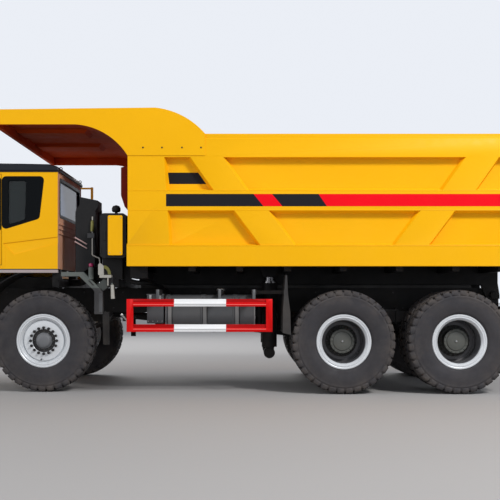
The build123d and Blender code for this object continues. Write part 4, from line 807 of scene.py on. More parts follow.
def make_rear_rims(number, spot, side, sign):
    """A pair of rear rims on one hub, with the nuts, the hub's bolts and the long valve."""
    body, mark = f"rear_wheels_{number}_{side}", f"{number}_{side}"
    centre = Vector((spot.x, sign * spot.y, tyre_r))
    shape = Shape()
    for offset, face in ((dual_spacing / 2, 1), (-dual_spacing / 2, -1)):
        shape.lathe([(offset + face * out, radius) for out, radius in rear_lips], centre, sign, rim_steps)
    disc = [(-0.022, 0.092), (-0.022, 0.301), (0.022, 0.301), (0.022, 0.092)]
    shoulder = [(0.022, 0.20), (0.022, 0.301), (0.052, 0.301), (0.034, 0.270), (0.032, 0.20)]
    shape.lathe(disc, centre, sign, hub_steps)
    shape.lathe(shoulder, centre, sign, hub_steps)
    shells = shape.finish(f"rear_rim_shells_{mark}", ["rim_silver"], sharp=rim_smooth)
    # Painted shade: the disc and the barrels' insides get the darker silver
    repaint(shells, "rim_silver_painted_shade", lambda face, normal: abs(abs(face.y) - spot.y) < rim_painted_shade_reach
            and math.hypot(face.x - centre.x, face.z - centre.z) < bead_seat_r - 0.001)
    place(shells, body, "rim_silver")
    hub = Shape()
    hub.lathe([(-0.2, 0.225), (-0.2, 0.245), (-0.022, 0.245), (-0.022, 0.225)], centre, sign, hub_steps)
    hub.lathe(rear_hub, centre, sign, hub_steps)
    piece = hub.finish(f"rear_hub_{mark}", ["hub_grey"], sharp=rim_smooth)
    place(piece, body, "rim_silver", f"rear_rims_{mark}")
    for ring in rear_nut_rings:
        ring_of_nuts(body, mark, centre, sign, *ring)
    plug = Shape()
    hub_face = 0.215
    foot = centre + Vector((0, sign * hub_face, 0))
    plug.rod(foot, foot + Vector((0, sign * 0.013, 0)), 0.014, 6)
    add_valve(plug, centre + Vector((-0.225, sign * 0.06, -0.16)), (-0.02, sign * 0.24, -0.055),
              (-0.022, sign * 0.262, -0.060), 0.006, 0.009)
    place(plug.finish(f"rear_valves_{mark}", ["steel_bright"], 0.001, 1), body, "rim_silver")


# Load body
def px_x(column):
    """Truck's X of a column of the photo, for something on the body's side."""
    return eye_x - (column - middle_column) * metres_a_pixel


def px_z(row):
    """Truck's Z of a row of the photo, for something on the body's side."""
    return eye_z + (horizon_row - row) * metres_a_pixel


front_wall_x = 1.584
wall_inner_y = wall_outer_y - 0.06
face_y = side_y - 0.008
plug_columns, plug_row = (143, 162, 182, 201), 147.5
stripe_t = 0.0012
stripe_top, stripe_low = px_z(193.9), px_z(206.2)
belt_rear_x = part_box("dump_body")[0].x + 0.22
stripe_table = (
    # material, front x at the top and at the bottom, rear x at the top and at the bottom
    ("stripe_black", px_x(166.0), px_x(166.0), px_x(253.5), px_x(263.5)),
    ("stripe_red", px_x(253.5), px_x(263.5), px_x(272.0), px_x(282.5)),
    ("stripe_black", px_x(272.0), px_x(282.5), px_x(318.5), px_x(327.0)),
    ("stripe_red", px_x(318.5), px_x(327.0), belt_rear_x, belt_rear_x),
)
# The short black band ahead of the belt
band_top, band_low = px_z(171.5), px_z(183)
band_outline = [(1.03, band_top), (px_x(200), band_top), (px_x(208), band_low), (1.01, band_low)]


def make_stripes():
    """Painted bands on both sides of the load body."""
    for colour in ("stripe_black", "stripe_red"):
        shape = Shape()
        for sign in (1, -1):
            low, high = y_span(sign, face_y, face_y + stripe_t)
            for material, front_top, front_low, rear_top, rear_low in stripe_table:
                if material == colour:
                    shape.prism([(front_top, stripe_top), (rear_top, stripe_top), (rear_low, stripe_low),
                                 (front_low, stripe_low)], low, high)
            if colour == "stripe_black":
                shape.prism(band_outline, *y_span(sign, wall_outer_y, wall_outer_y + stripe_t))
        place(shape.finish(f"{colour}_bands", [colour]), "load_body", "body_yellow")


def make_load_body():
    """The tub and the canopy: yellow outside, red-brown where they face the cab or the load."""
    bed_low_z, underside_z = 1.89, 1.95
    tub = softened("dump_body", "body_yellow", 0.006)
    paint_rules(tub, (
        ("primer_brown", lambda spot, normal: spot.x > front_wall_x + 0.002 and abs(spot.y) < wall_outer_y),
        ("primer_brown", lambda spot, normal: spot.x > front_wall_x - 0.01 and normal.x > 0.5
         and abs(spot.y) < side_y - 0.1),
        ("bed_steel", lambda spot, normal: abs(spot.y) < wall_inner_y + 0.002
         and spot.x < front_wall_x - 0.05 and spot.z > bed_low_z and normal.z > -0.5 and normal.x > -0.8),
        ("frame_black", lambda spot, normal: spot.z < underside_z and normal.z < -0.5
         and abs(spot.y) < wall_inner_y),
    ))
    place(tub, "load_body", "body_yellow", "dump_body")
    inside_y, fold_z, brow_x = side_y - 0.05, 3.93, 3.0
    roof = softened("canopy", "body_yellow", 0.006)
    paint_rules(roof, (
        # The canopy's underside gets a brighter copy of the primer: painted bounce light
        ("canopy_brown_painted_light", lambda spot, normal: normal.z < -0.15 and abs(spot.y) < side_y - 0.015),
        ("canopy_brown_painted_light", lambda spot, normal: abs(spot.y) < inside_y and abs(normal.y) > 0.3
         and spot.z < fold_z),
        ("canopy_brown_painted_light", lambda spot, normal: normal.x < -0.3 and spot.x > brow_x and spot.z < fold_z),
    ))
    place(roof, "load_body", "body_yellow", "canopy")
    marks = Shape()
    for sign in (1, -1):
        for column in plug_columns:
            x, z = px_x(column), px_z(plug_row)
            marks.rod((x, sign * side_y, z), (x, sign * (side_y + 0.004), z), 0.012, 12)
    place(marks.finish("body_plugs", ["frame_black"]), "load_body", "body_yellow")


def make_body_welds():
    """Welds and folded lips along the sides: the long seams that catch the light."""
    rear_x, front_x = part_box("dump_body")[0].x + 0.10, front_wall_x - 0.004
    seam = Shape()
    for sign in (1, -1):
        for z, y, radius in ((2.083, side_y - 0.002, 0.007), (2.851, side_y - 0.010, 0.006),
                             (2.576, side_y - 0.010, 0.005)):
            seam.rod((rear_x, sign * y, z), (front_x, sign * y, z), radius, 8)
    place(seam.finish("body_edge_rolls", ["body_yellow"]), "load_body", "body_yellow")


def make_rest_strips():
    """Rubber strips on the rails between the pads, which also fill the gap under the body as a dark sheet standing
    for its shade, and the bolster under the tub's front wall.
    """
    strip_outer_y, strip_w = 0.478, 0.075
    strip_rear_x, strip_front_x = -3.560, 1.570
    strip_top_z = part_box("body_pads")[1].z - 0.004
    strips = Shape()
    for sign in (1, -1):
        y_low, y_high = y_span(sign, strip_outer_y - strip_w, strip_outer_y)
        strips.box((strip_rear_x, y_low, rail_top_z - 0.003), (strip_front_x, y_high, strip_top_z))
    place(strips.finish("body_rest_strips", ["hose_black"], 0.004), "root", "flap_rubber")
    bolster_rear_x, bolster_low_z, bolster_top_z = 1.330, 1.634, 1.840
    bolster = Shape()
    for sign in (-1, 1):
        y_low, y_high = y_span(sign, 0.900, 1.600)
        bolster.box((bolster_rear_x, y_low, bolster_low_z), (front_wall_x - 0.004, y_high, bolster_top_z))
    place(bolster.finish("body_front_bolster", ["frame_black"], 0.006), "load_body", "frame_black")


def turned_corners(outline, radius, steps=6):
    """The outline of a convex polygon with its corners rounded."""
    count = len(outline)
    rounded_outline = []
    for index, corner in enumerate(outline):
        corner = Vector(corner)
        before, after = (Vector(outline[(index + shift) % count]) - corner for shift in (-1, 1))
        half_turn = before.angle(after) / 2
        reach = min(radius / math.tan(half_turn), before.length * 0.48, after.length * 0.48)
        tangent = reach * math.tan(half_turn)
        inwards = (before.normalized() + after.normalized()).normalized()
        middle = corner + inwards * (tangent / math.sin(half_turn))
        first, last = (corner + way.normalized() * reach - middle for way in (before, after))
        swing = first.angle_signed(last)
        for step in range(steps + 1):
            angle = -swing * step / steps
            turned = Vector((first.x * math.cos(angle) - first.y * math.sin(angle),
                             first.x * math.sin(angle) + first.y * math.cos(angle)))
            rounded_outline.append(tuple(middle + turned))
    return rounded_outline


# CAD nodes that keep their form and get rounded edges
edge_table = (
    # node, body, material, rounding
    ("cab_roof", "root", "roof_charcoal", 0.030),
    ("cab_fender", "root", "black_plastic", 0.003),
    ("front_bumper", "root", "body_yellow", 0.014),
    ("front_panel", "root", "body_yellow", 0.010),
    ("front_deck", "root", "body_yellow", 0.004),
    ("service_cabinet", "root", "black_plastic", 0.012),
    ("cabinet_cover", "root", "body_yellow", 0.006),
    ("intake_stack", "root", "black_plastic", 0.010),
    ("fuel_tank", "root", "tank_grey", 0.005),
    ("side_box", "root", "tank_grey", 0.008),
    ("chassis_frame", "root", "frame_black", 0.003),
    ("cross_members", "root", "frame_black", 0.003),
    ("frame_brackets", "root", "frame_black", 0.004),
    ("outriggers", "root", "frame_black", 0.004),
    ("leaf_springs", "root", "spring_steel", 0.003),
    ("front_axle", "root", "frame_black", 0.008),
    ("rear_axle_1", "root", "frame_black", 0.006),
    ("rear_axle_2", "root", "frame_black", 0.006),
    ("access_ladder", "root", "frame_black", 0.003),
    ("engine_block", "root", "engine_iron", 0.020),
    ("exhaust", "root", "engine_iron", 0.010),
    ("mudflaps", "root", "flap_rubber", 0.003),
    ("dashboard", "root", "dash_plastic", 0.008),
    ("mirrors", "root", "black_plastic", 0.008),
    ("body_subframe", "load_body", "frame_black", 0.004),
)


def round_cad_edges():
    """Broken edges on the rigid nodes whose form is right as it is."""
    for node, body, material, bevel in edge_table:
        place(softened(node, material, bevel), body, node_slots[node], node)


# Cab: outlines of its openings and of the black film round them, as (x, z) points
side_opening = [(2.835, 3.092), (3.385, 3.092), (3.385, 2.350), (2.905, 2.500)]
side_clear = [(3.085, 3.035), (3.345, 3.035), (3.345, 2.405), (3.105, 2.480)]
side_surround = [(2.825, 3.100), (3.4375, 3.100), (3.4375, 2.325), (2.897, 2.491)]
door_clear = [(3.575, 3.010), (4.065, 3.010), (4.170, 2.420), (4.170, 2.325), (3.575, 2.372)]
door_surround = [(3.4465, 3.085), (4.115, 3.085), (4.250, 2.430), (4.250, 2.252), (3.4465, 2.318)]
ridge_zs = (2.425, 2.355, 2.285)


def make_cab_panels():
    """The cab's shell with its brown rear wall and dark lining, its door and its panes."""
    sill_z = 1.775
    lining_low = (cab_rear_x + 0.05, cab_right_y + 0.055, 1.82)
    lining_high = (cab_front_x - 0.05, cab_side_y - 0.045, 3.115)
    shell = softened("cab_shell", "body_yellow", 0.010)
    paint_rules(shell, (
        # The rear wall's brown, made paler: painted bounce light
        ("cab_brown_painted_light", lambda spot, normal: spot.x < cab_rear_x + 0.004 and abs(normal.x) > 0.9
         and spot.z > sill_z - 0.015),
        ("dash_plastic", lambda spot, normal: all(low < value < high for low, value, high
                                                  in zip(lining_low, spot, lining_high))),
        ("frame_black", lambda spot, normal: spot.z < sill_z),
    ))
    place(shell, "root", "body_yellow", "cab_shell")
    door = softened("cab_door_left", "body_yellow", 0.006)
    repaint(door, "door_trim", lambda spot, normal: normal.y < -0.5 and spot.y < cab_side_y - 0.05)
    place(door, "cab_door_left", "body_yellow", "cab_door_left")
    panes = softened("cab_glass", "glass_tint", 0.0)
    repaint(panes, "rear_glass", lambda spot, normal: spot.x < cab_rear_x + 0.06 and abs(normal.x) > 0.7)
    place(panes, "root", "glass_tint", "cab_glass")


def make_window_surrounds():
    """Black film round the panes, almost flush with the panels."""
    skin, depth = 0.0022, 0.022
    shell = Shape()
    shell.frame(turned_corners(side_surround, 0.060), turned_corners(side_clear, 0.035),
                cab_side_y - depth, cab_side_y + skin)
    shell.frame(turned_corners(side_opening, 0.045), turned_corners(side_clear, 0.045),
                cab_right_y - skin, cab_right_y + depth)
    rear_edge, rear_pane = rectangle(-0.105, 1.385, 2.515, 3.095), rectangle(-0.060, 1.340, 2.560, 3.050)
    shell.frame(turned_corners(rear_edge, 0.06), turned_corners(rear_pane, 0.045),
                cab_rear_x - 0.006, cab_rear_x + 0.024, "X")
    place(shell.finish("side_window_surrounds", ["seal_rubber"], 0.001, 1), "root", "black_plastic")
    door = Shape()
    door.frame(turned_corners(door_surround, 0.035), turned_corners(door_clear, 0.04),
               cab_side_y - depth, cab_side_y + skin)
    place(door.finish("door_window_surround", ["seal_rubber"], 0.001, 1), "cab_door_left", "black_plastic")
    # The windscreen's border leans back with it
    low_z, high_z, foot_z = 2.425, 3.090, 2.400
    slope = 0.130 / (3.167 - foot_z)
    border = Shape()
    outer = turned_corners(rectangle(-0.125, 1.405, low_z, high_z), 0.06)
    inner = turned_corners(rectangle(-0.050, 1.330, low_z + 0.085, high_z - 0.075), 0.05)
    border.frame(outer, inner, -0.012, 0.004, "X")
    for vert in border.mesh.verts:
        vert.co.x += cab_front_x - 0.020 - (vert.co.z - foot_z) * slope
    place(border.finish("windscreen_border", ["seal_rubber"], 0.001, 1), "root", "black_plastic")


def make_cab_trim():
    """Trim along the cab's foot, the rear wall's ridges, the pillar's cover and what the roof carries."""
    foot_low_z, foot_top_z, foot_front_x = 1.714, 1.757, 4.30
    trim = Shape()
    trim.box((cab_rear_x, cab_side_y - 0.05, foot_low_z), (foot_front_x, cab_side_y + 0.003, foot_top_z))
    trim.box((cab_rear_x, cab_side_y - 0.03, foot_top_z),
             (foot_front_x, cab_side_y - 0.004, foot_top_z + 0.015), 1)
    place(trim.finish("cab_foot_trim", ["trim_grey", "flap_rubber"], 0.003), "root", "black_plastic")

    inset = cab_rear_x + 0.002
    ridges = Shape()
    for z in ridge_zs:
        ridges.box((cab_rear_x - 0.014, cab_right_y + 0.08, z - 0.013), (inset, cab_side_y - 0.06, z + 0.013))
    for y in (0.20, 1.08):
        ridges.box((cab_rear_x - 0.010, y - 0.02, 1.80), (inset, y + 0.02, 2.25))
    place(ridges.finish("cab_rear_ridges", ["cab_brown_painted_light"], 0.005), "root", "body_yellow")

    cover = Shape()
    cover.prism(turned_corners(rectangle(3.386, 3.430, 1.800, 2.035), 0.008), cab_side_y - 0.004,
                cab_side_y + 0.003)
    place(cover.finish("pillar_cover", ["body_yellow"], 0.001, 1), "root", "body_yellow")

    gutter_low_z, gutter_top_z = 3.160, 3.176
    marker_x, marker_low_z, marker_top_z = 4.29, 3.262, 3.292
    gutter = Shape()
    for y in (cab_side_y + 0.004, cab_right_y - 0.004):
        gutter.box((cab_rear_x - 0.02, y - 0.006, gutter_low_z),
                   (cab_front_x - 0.10, y + 0.006, gutter_top_z))
    for y in (0.05, 0.64, 1.23):
        gutter.box((marker_x - 0.04, y - 0.05, marker_low_z), (marker_x + 0.04, y + 0.05, marker_top_z), 1)
    place(gutter.finish("roof_gutter", ["roof_charcoal", "lens_amber"], 0.004), "root", "roof_charcoal")

    eye_ring = [(-0.006, 0.016), (0.006, 0.016), (0.006, 0.026), (-0.006, 0.026)]
    eyes = Shape()
    for y in (1.35, -0.07):
        eyes.lathe(eye_ring, (cab_rear_x - 0.012, y, 3.228), 1, 24)
    place(eyes.finish("roof_lifting_eyes", ["frame_black"]), "root", "roof_charcoal")


def make_door_fittings():
    """Outside, a handle on its dish and a lock; inside, a pull and the foot of the trim."""
    grip_y, grip_z = cab_side_y + 0.018, 2.145
    lock_x, lock_z = 3.50, 2.075
    handle = Shape()
    handle.prism(turned_corners(rectangle(3.485, 3.665, 2.095, 2.190), 0.02), cab_side_y - 0.004,
                 cab_side_y + 0.002)
    handle.rod((3.505, grip_y, grip_z), (3.645, grip_y, grip_z), 0.011, 16)
    for x in (3.515, 3.635):
        handle.rod((x, cab_side_y - 0.002, grip_z), (x, grip_y, grip_z), 0.008, 12)
    handle.rod((lock_x, cab_side_y, lock_z), (lock_x, cab_side_y + 0.004, lock_z), 0.012, 20, slot=1)
    place(handle.finish("door_handle", ["black_plastic", "fitting_zinc"], 0.0015, 1), "cab_door_left",
          "black_plastic")
    pull_x, pull_y = 3.56, 1.425
    pull = Shape()
    pull.rod((pull_x, pull_y, 2.14), (pull_x, pull_y, 2.26), 0.011, 16)
    for z in (2.145, 2.255):
        pull.rod((pull_x, pull_y + 0.020, z), (pull_x, pull_y, z), 0.009, 12)
    pull.box((3.62, 1.418, 1.90), (4.16, 1.442, 2.02))
    place(pull.finish("door_pull", ["dash_plastic"], 0.005), "cab_door_left", "black_plastic")


def make_wipers_and_mirrors():
    """Wipers on the windscreen's foot, and the glass in the mirrors."""
    wipers = Shape()
    for foot_y, tip_y in ((1.10, 0.62), (0.35, -0.02)):
        foot = Vector((cab_front_x - 0.006, foot_y, 2.405))
        tip = Vector((cab_front_x - 0.075, tip_y, 2.83))
        wipers.rod(foot - Vector((0.02, 0, 0)), foot + Vector((0.016, 0, 0)), 0.018, 16)
        wipers.rod(foot + Vector((0.012, 0, 0)), tip, 0.007, 8)
        wipers.rod(tip + Vector((0.036, 0.02, -0.26)), tip + Vector((-0.034, -0.02, 0.18)), 0.009, 8)
    place(wipers.finish("wipers", ["black_plastic"]), "root", "black_plastic")
    glass = Shape()
    for x, y, z in ((4.410, cab_side_y + 0.19, 2.32), (4.455, -1.75, 2.86)):
        glass.box((x - 0.0035, y - 0.075, z + 0.025), (x + 0.004, y + 0.075, z + 0.415))
    place(glass.finish("mirror_glasses", ["mirror_glass"], 0.002, 1), "root", "black_plastic")


def make_pad(name, centre, size, lean, crown, channels):
    """A crowned cushion with rounded sides and sewn channels."""
    corner, channel_w, channel_h = 7.0, 0.045, 0.009
    mesh = bmesh.new()
    bmesh.ops.create_cube(mesh, size=2.0)
    bmesh.ops.subdivide_edges(mesh, edges=mesh.edges, cuts=21, use_grid_fill=True)
    for vert in mesh.verts:
        spread = sum(abs(value) ** corner for value in vert.co) ** (1 / corner)
        across, along, up = (value / spread for value in vert.co)
        lift = crown * (1 - across**2) * (1 - along**2) if up > 0 else 0.0
        groove = sum(math.exp(-((along - place) / channel_w) ** 2) for place in channels) if up > 0.3 else 0.0
        vert.co = (across * size[0] / 2, along * size[1] / 2 * (1 - 0.03 * (1 - up**2)),
                   up * size[2] / 2 + lift - channel_h * groove)
    bmesh.ops.rotate(mesh, verts=mesh.verts, cent=(0, 0, 0), matrix=Matrix.Rotation(lean, 3, "Y"))
    bmesh.ops.translate(mesh, verts=mesh.verts, vec=centre)
    data = bpy.data.meshes.new(name)
    mesh.to_mesh(data)
    mesh.free()
    data.materials.append(M["seat_fabric"])
    data.shade_smooth()
    return linked(name, data)


def make_seat():
    """Driver's seat: cushion, backrest and headrest on a sprung base."""
    seat_y, back_lean = 1.0, math.radians(-81.5)
    bellows_z, fold_h, folds = 1.87, 0.056, 5
    bellows, plastic = range(2)
    base = Shape()
    base.box((3.09, 0.82, 1.83), (3.41, 1.18, bellows_z), plastic)
    fold_outline = turned_corners(rectangle(3.11, 3.39, 0.84, 1.16), 0.04)
    for fold in range(folds):
        low = bellows_z + fold * fold_h
        base.prism(fold_outline, low + 0.006, low + 0.050, "Z", bellows)
    base.box((3.03, 0.76, 2.15), (3.50, 1.24, 2.195), plastic)
    base.box((3.05, 0.75, 2.20), (3.40, 0.765, 2.28), plastic)
    base.box((3.05, 1.235, 2.20), (3.40, 1.25, 2.28), plastic)
    base.prism([(2.985, 2.22), (3.015, 2.22), (2.915, 2.88), (2.885, 2.88)], 0.80, 1.20, "Y", plastic)
    place(base.finish("seat_base", ["hose_black", "dash_plastic"], 0.006), "root", "seat_fabric")
    pads = (
        # name, centre, size, lean, crown, places of the channels, node that it replaces
        ("seat_cushion", (3.265, seat_y, 2.258), (0.50, 0.50, 0.125), 0.0, 0.018, (-0.52, 0.52),
         ["driver_seat"]),
        ("seat_back", (2.985, seat_y, 2.570), (0.52, 0.47, 0.105), back_lean, 0.020, (-0.55, 0.55), []),
        ("seat_headrest", (2.937, seat_y, 2.862), (0.12, 0.27, 0.085), back_lean, 0.010, (), []),
    )
    for *form, replaced in pads:
        pad = place(make_pad(*form), "root", "seat_fabric", *replaced)


# Behind the cab
def make_wheel_bracket():
    """The bent bracket above each front wheel, with its posts in darker paint."""
    post_top_z, post_foot_z = 1.489, 1.119
    bracket = softened("wheel_guards", "bracket_grey", 0.004)
    paint_rules(bracket, (
        ("post_grey", lambda spot, normal: spot.z < post_top_z),
        ("frame_black", lambda spot, normal: spot.z < post_foot_z),
    ))
    place(bracket, "root", "bracket_grey", "wheel_guards")
    zinc, slot_painted_shade, face = range(3)
    bolt_y, shelf_z = 1.33, 1.722
    slot_outline = [(2.205, 1.604), (2.178, 1.604), (2.112, 1.532), (2.139, 1.532)]
    detail = Shape()
    for sign in (1, -1):
        y = sign * bolt_y
        for x in (2.32, 2.53):
            detail.rod((x, y, shelf_z), (x, y, shelf_z + 0.016), 0.014, 6, slot=zinc)
            detail.rod((x, y, shelf_z + 0.016), (x, y, shelf_z + 0.022), 0.008, 12, slot=zinc)
        # A black patch for the slot in the sloped foot, painted shade in place of an opening, and the post's pale
        # face
        detail.prism(slot_outline, *y_span(sign, 1.4795, 1.482), "Y", slot_painted_shade)
        y_low, y_high = y_span(sign, 1.4995, 1.503)
        detail.box((1.994, y_low, 1.150), (2.044, y_high, 1.420), face)
    paints = ["fitting_zinc", "hose_black", "tank_grey"]
    place(detail.finish("bracket_fittings", paints), "root", "bracket_grey")


platform_paints = ("bracket_grey", "post_grey", "knob_magenta", "black_plastic", "olive_brass", "plate_pale",
                   "strut_rose")
grey, dark, magenta, black, brass, pale, rose = range(len(platform_paints))


def add_grease_cylinder(kit):
    x, y, foot_z, top_z, cap_h = 2.166, 1.452, 1.620, 1.790, 0.010
    knob = [(0.0, 0.0), (0.0, 0.022), (0.012, 0.033), (0.036, 0.034), (0.050, 0.026), (0.058, 0.0)]
    kit.rod((x, y, foot_z), (x, y, top_z), 0.039, 28, slot=grey)
    kit.rod((x, y, top_z), (x, y, top_z + cap_h), 0.031, 28, slot=grey)
    kit.lathe(knob, (x, y, top_z + cap_h), 1, 28, magenta, "Z")


def add_valve_bracket(kit):
    """The bracket outside the cabinet's foot, with its quarter ring, its shelf and the valve below."""
    plate_x, foot_z, shelf_z = 1.926, 1.674, 1.634
    plate = [(2.003, foot_z), (2.003, 1.820), (1.978, 1.842), (plate_x, 1.800), (plate_x, foot_z)]
    kit.prism(plate, 1.750, 1.800, "Y", pale)
    quarter = []
    for reach, rise, steps in ((0.100, 0.130, (0, 15, 30, 45, 60, 75, 90)), (0.060, 0.085, (90, 60, 30, 0))):
        for angle in map(math.radians, steps):
            quarter.append((plate_x - reach * math.sin(angle), 1.680 + rise * math.cos(angle)))
    kit.prism(quarter, 1.755, 1.790, "Y", brass)
    kit.box((1.818, 1.700, shelf_z), (1.984, 1.810, foot_z), pale)
    valve_y = 1.795
    kit.rod((1.865, 1.800, 1.640), (1.865, 1.800, 1.524), 0.009, 14, slot=pale)
    kit.rod((1.806, valve_y, 1.536), (1.796, valve_y, 1.340), 0.024, 28, end_radius=0.029, slot=pale)
    kit.rod((1.808, valve_y, 1.560), (1.806, valve_y, 1.536), 0.014, 20, slot=grey)
    kit.box((1.790, 1.700, 1.550), (1.826, 1.806, 1.640), black)


def add_upright_pipe(kit):
    """The pipe in front of the stack, with its strainer and clamp, and the bends at its foot."""
    pipe_r = 0.010
    route = ((2.147, 1.445, 2.525), (2.147, 1.445, 1.975), (2.131, 1.452, 1.962), (2.046, 1.445, 1.925),
             (2.038, 1.440, 1.850))
    strainer_x, strainer_y, strainer_top_z = 2.150, 1.450, 2.455
    for start, end in zip(route, route[1:]):
        kit.rod(start, end, pipe_r, 14, slot=pale)
    kit.rod((strainer_x, strainer_y, 2.310), (strainer_x, strainer_y, strainer_top_z), 0.028, 22,
            end_radius=0.022, slot=brass)
    kit.rod((strainer_x, strainer_y, strainer_top_z), (strainer_x, strainer_y, strainer_top_z + 0.020), 0.022,
            22, end_radius=pipe_r, slot=brass)
    kit.box((2.115, 1.405, 2.215), (2.215, 1.475, 2.285), dark)


def add_stack_fittings(kit):
    """Foot of the stack, a stay on the cabinet's back, two struts and the cabinet's breather."""
    kit.box((2.020, 0.960, 1.590), (2.300, 1.130, 1.790), black)
    kit.box((1.600, 1.290, 1.600), (1.720, 1.360, 1.940), black)
    for z in (2.2265, 2.167):
        kit.rod((2.405, 1.430, z), (2.228, 1.430, z - 0.099), 0.009, 16, slot=rose)
    x, y, neck_z = 1.787, 1.55, 2.540
    cap = [(0.0, 0.0), (0.0, 0.052), (0.016, 0.062), (0.055, 0.062), (0.085, 0.045), (0.100, 0.0)]
    kit.rod((x, y, neck_z), (x, y, neck_z + 0.045), 0.022, 24, slot=black)
    kit.lathe(cap, (x, y, neck_z + 0.040), 1, 32, black, "Z")


def make_platform_fittings():
    """What stands on the platform behind the cab."""
    kit = Shape()
    for add_fitting in (add_grease_cylinder, add_valve_bracket, add_upright_pipe, add_stack_fittings):
        add_fitting(kit)
    place(kit.finish("platform_fittings", platform_paints, 0.002, 1), "root", "bracket_grey")


def make_drain_tap():
    """Drain tap ahead of the side guard, on its pipe from the frame."""
    x, y, handle_y, pipe_z = 1.665, 1.565, 1.600, 1.070
    zinc, body = range(2)
    tap = Shape()
    tap.rod((x, y, 1.020), (x, y, 1.120), 0.030, 24, slot=body)
    tap.rod((1.615, handle_y, 1.020), (1.690, handle_y, 1.100), 0.014, 20, slot=zinc)
    tap.rod((1.690, handle_y, 1.100), (1.712, handle_y, 1.124), 0.022, 6, slot=zinc)
    tap.rod((x, 1.200, pipe_z), (x, y + 0.005, pipe_z), 0.020, 16, slot=body)
    tap.box((x - 0.025, rail_y, pipe_z - 0.025), (x + 0.025, 1.205, pipe_z + 0.025), body)
    place(tap.finish("drain_tap", ["fitting_zinc", "frame_black"], 0.002, 1), "root", "frame_black")


def make_cabinet_latches():
    """The cabinet's latch and hinge, and its cover's four screws."""
    cover_y, hinge_x, hinge_y = 1.789, 1.972, 1.752
    cabinet = Shape()
    for x in (1.690, 1.845):
        for z in (1.985, 2.475):
            cabinet.rod((x, cover_y, z), (x, cover_y + 0.005, z), 0.008, 12)
    cabinet.box((1.905, 1.748, 2.16), (1.935, 1.762, 2.30), 1)
    for z in (2.02, 2.42):
        cabinet.rod((hinge_x, hinge_y, z - 0.04), (hinge_x, hinge_y, z + 0.04), 0.010, 14, slot=1)
    paints = ["steel_bright", "frame_black"]
    place(cabinet.finish("cabinet_latches", paints, 0.002, 1), "root", "black_plastic")


hose_table = (
    # name, radius, points of its line
    ("intake_hose", 0.055, ((2.32, 1.20, 1.74), (2.34, 1.05, 1.66), (2.38, 0.80, 1.60), (2.55, 0.55, 1.58),
                            (2.80, 0.38, 1.60))),
    ("lift_hose", 0.036, ((1.74, 1.28, 1.66), (1.60, 1.24, 1.578), (1.42, 1.15, 1.578), (1.27, 0.90, 1.55),
                          (1.17, 0.60, 1.46), (1.08, 0.492, 1.38))),
    ("coolant_hose_1", 0.040, ((2.118, 1.030, 2.66), (2.120, 1.030, 2.30), (2.114, 1.025, 1.95),
                               (2.12, 1.010, 1.72), (2.20, 0.90, 1.56))),
    ("coolant_hose_2", 0.034, ((2.030, 1.05, 2.46), (2.044, 1.06, 2.25), (2.030, 1.05, 1.95),
                               (2.04, 1.02, 1.72), (2.09, 0.90, 1.58))),
    ("coolant_hose_3", 0.045, ((2.25, 0.95, 2.10), (2.10, 0.93, 2.02), (1.98, 0.90, 1.84), (1.95, 0.84, 1.64),
                               (1.98, 0.70, 1.50))),
    ("brake_hose", 0.013, ((1.78, -0.40, 1.625), (1.66, -0.42, 1.64), (1.55, -0.46, 1.56),
                           (1.45, -0.489, 1.44))),
)


def make_run(name, points, radius, material="hose_black"):
    """A pipe or a fixed hose along a smooth line through a few chosen points."""
    curve = bpy.data.curves.new(name, "CURVE")
    curve.dimensions = "3D"
    curve.bevel_depth = radius
    curve.bevel_resolution = 4
    curve.use_fill_caps = True
    spline = curve.splines.new("NURBS")
    spline.points.add(len(points) - 1)
    for point, spot in zip(spline.points, points):
        point.co = (*spot, 1)
    spline.order_u = 3
    spline.use_endpoint_u = True
    spline.resolution_u = 10
    holder = linked(name, curve)
    graph = bpy.context.evaluated_depsgraph_get()
    data = bpy.data.meshes.new_from_object(holder.evaluated_get(graph))
    bpy.data.objects.remove(holder)
    piece = linked(name, data)
    mesh = bmesh.new()
    mesh.from_mesh(data)
    bmesh.ops.remove_doubles(mesh, verts=mesh.verts, dist=0.00001)
    bmesh.ops.recalc_face_normals(mesh, faces=mesh.faces)
    mesh.to_mesh(data)
    mesh.free()
    painted(data, material)
    return rounded(piece, 0.0, sharp=40.0)


def make_platform_hoses():
    """Hoses from the platform down to the frame: fixed runs between two fittings."""
    for name, radius, points in hose_table:
        place(make_run(name, points, radius), "root", "black_plastic")


# Tank and boxes
strap_xs = (0.060, 0.520, 1.020)


def make_tank_fittings():
    """The tank's filler, straps and drain."""
    low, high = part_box("fuel_tank")
    zinc, neck, strap, seal = range(4)
    filler_x, filler_y, drain_x, drain_y = 0.30, 1.30, 0.40, 1.20
    cap = [(0.0, 0.0), (0.0, 0.062), (0.028, 0.064), (0.036, 0.058), (0.040, 0.0)]
    kit = Shape()
    kit.rod((filler_x, filler_y, high.z - 0.012), (filler_x, filler_y, high.z + 0.050), 0.052, 32, slot=neck)
    kit.lathe(cap, (filler_x, filler_y, high.z + 0.045), 1, 32, zinc, "Z")
    for x in strap_xs:
        kit.box((x - 0.026, high.y - 0.004, 0.900), (x + 0.026, high.y + 0.004, 1.300), strap)
        for edge_x in (x - 0.031, x + 0.031):
            kit.box((edge_x - 0.003, high.y - 0.012, 0.990), (edge_x + 0.003, high.y + 0.002, 1.360), seal)
    for x in (low.x + 0.012, high.x - 0.014):
        kit.box((x - 0.008, high.y - 0.012, 0.905), (x + 0.008, high.y - 0.001, 1.330), strap)
    kit.rod((drain_x, drain_y, low.z - 0.014), (drain_x, drain_y, low.z + 0.01), 0.022, 6, slot=zinc)
    paints = ["fitting_zinc", "tank_grey", "strap_steel", "seal_rubber"]
    place(kit.finish("tank_fittings", paints, 0.0015, 1), "root", "tank_black")


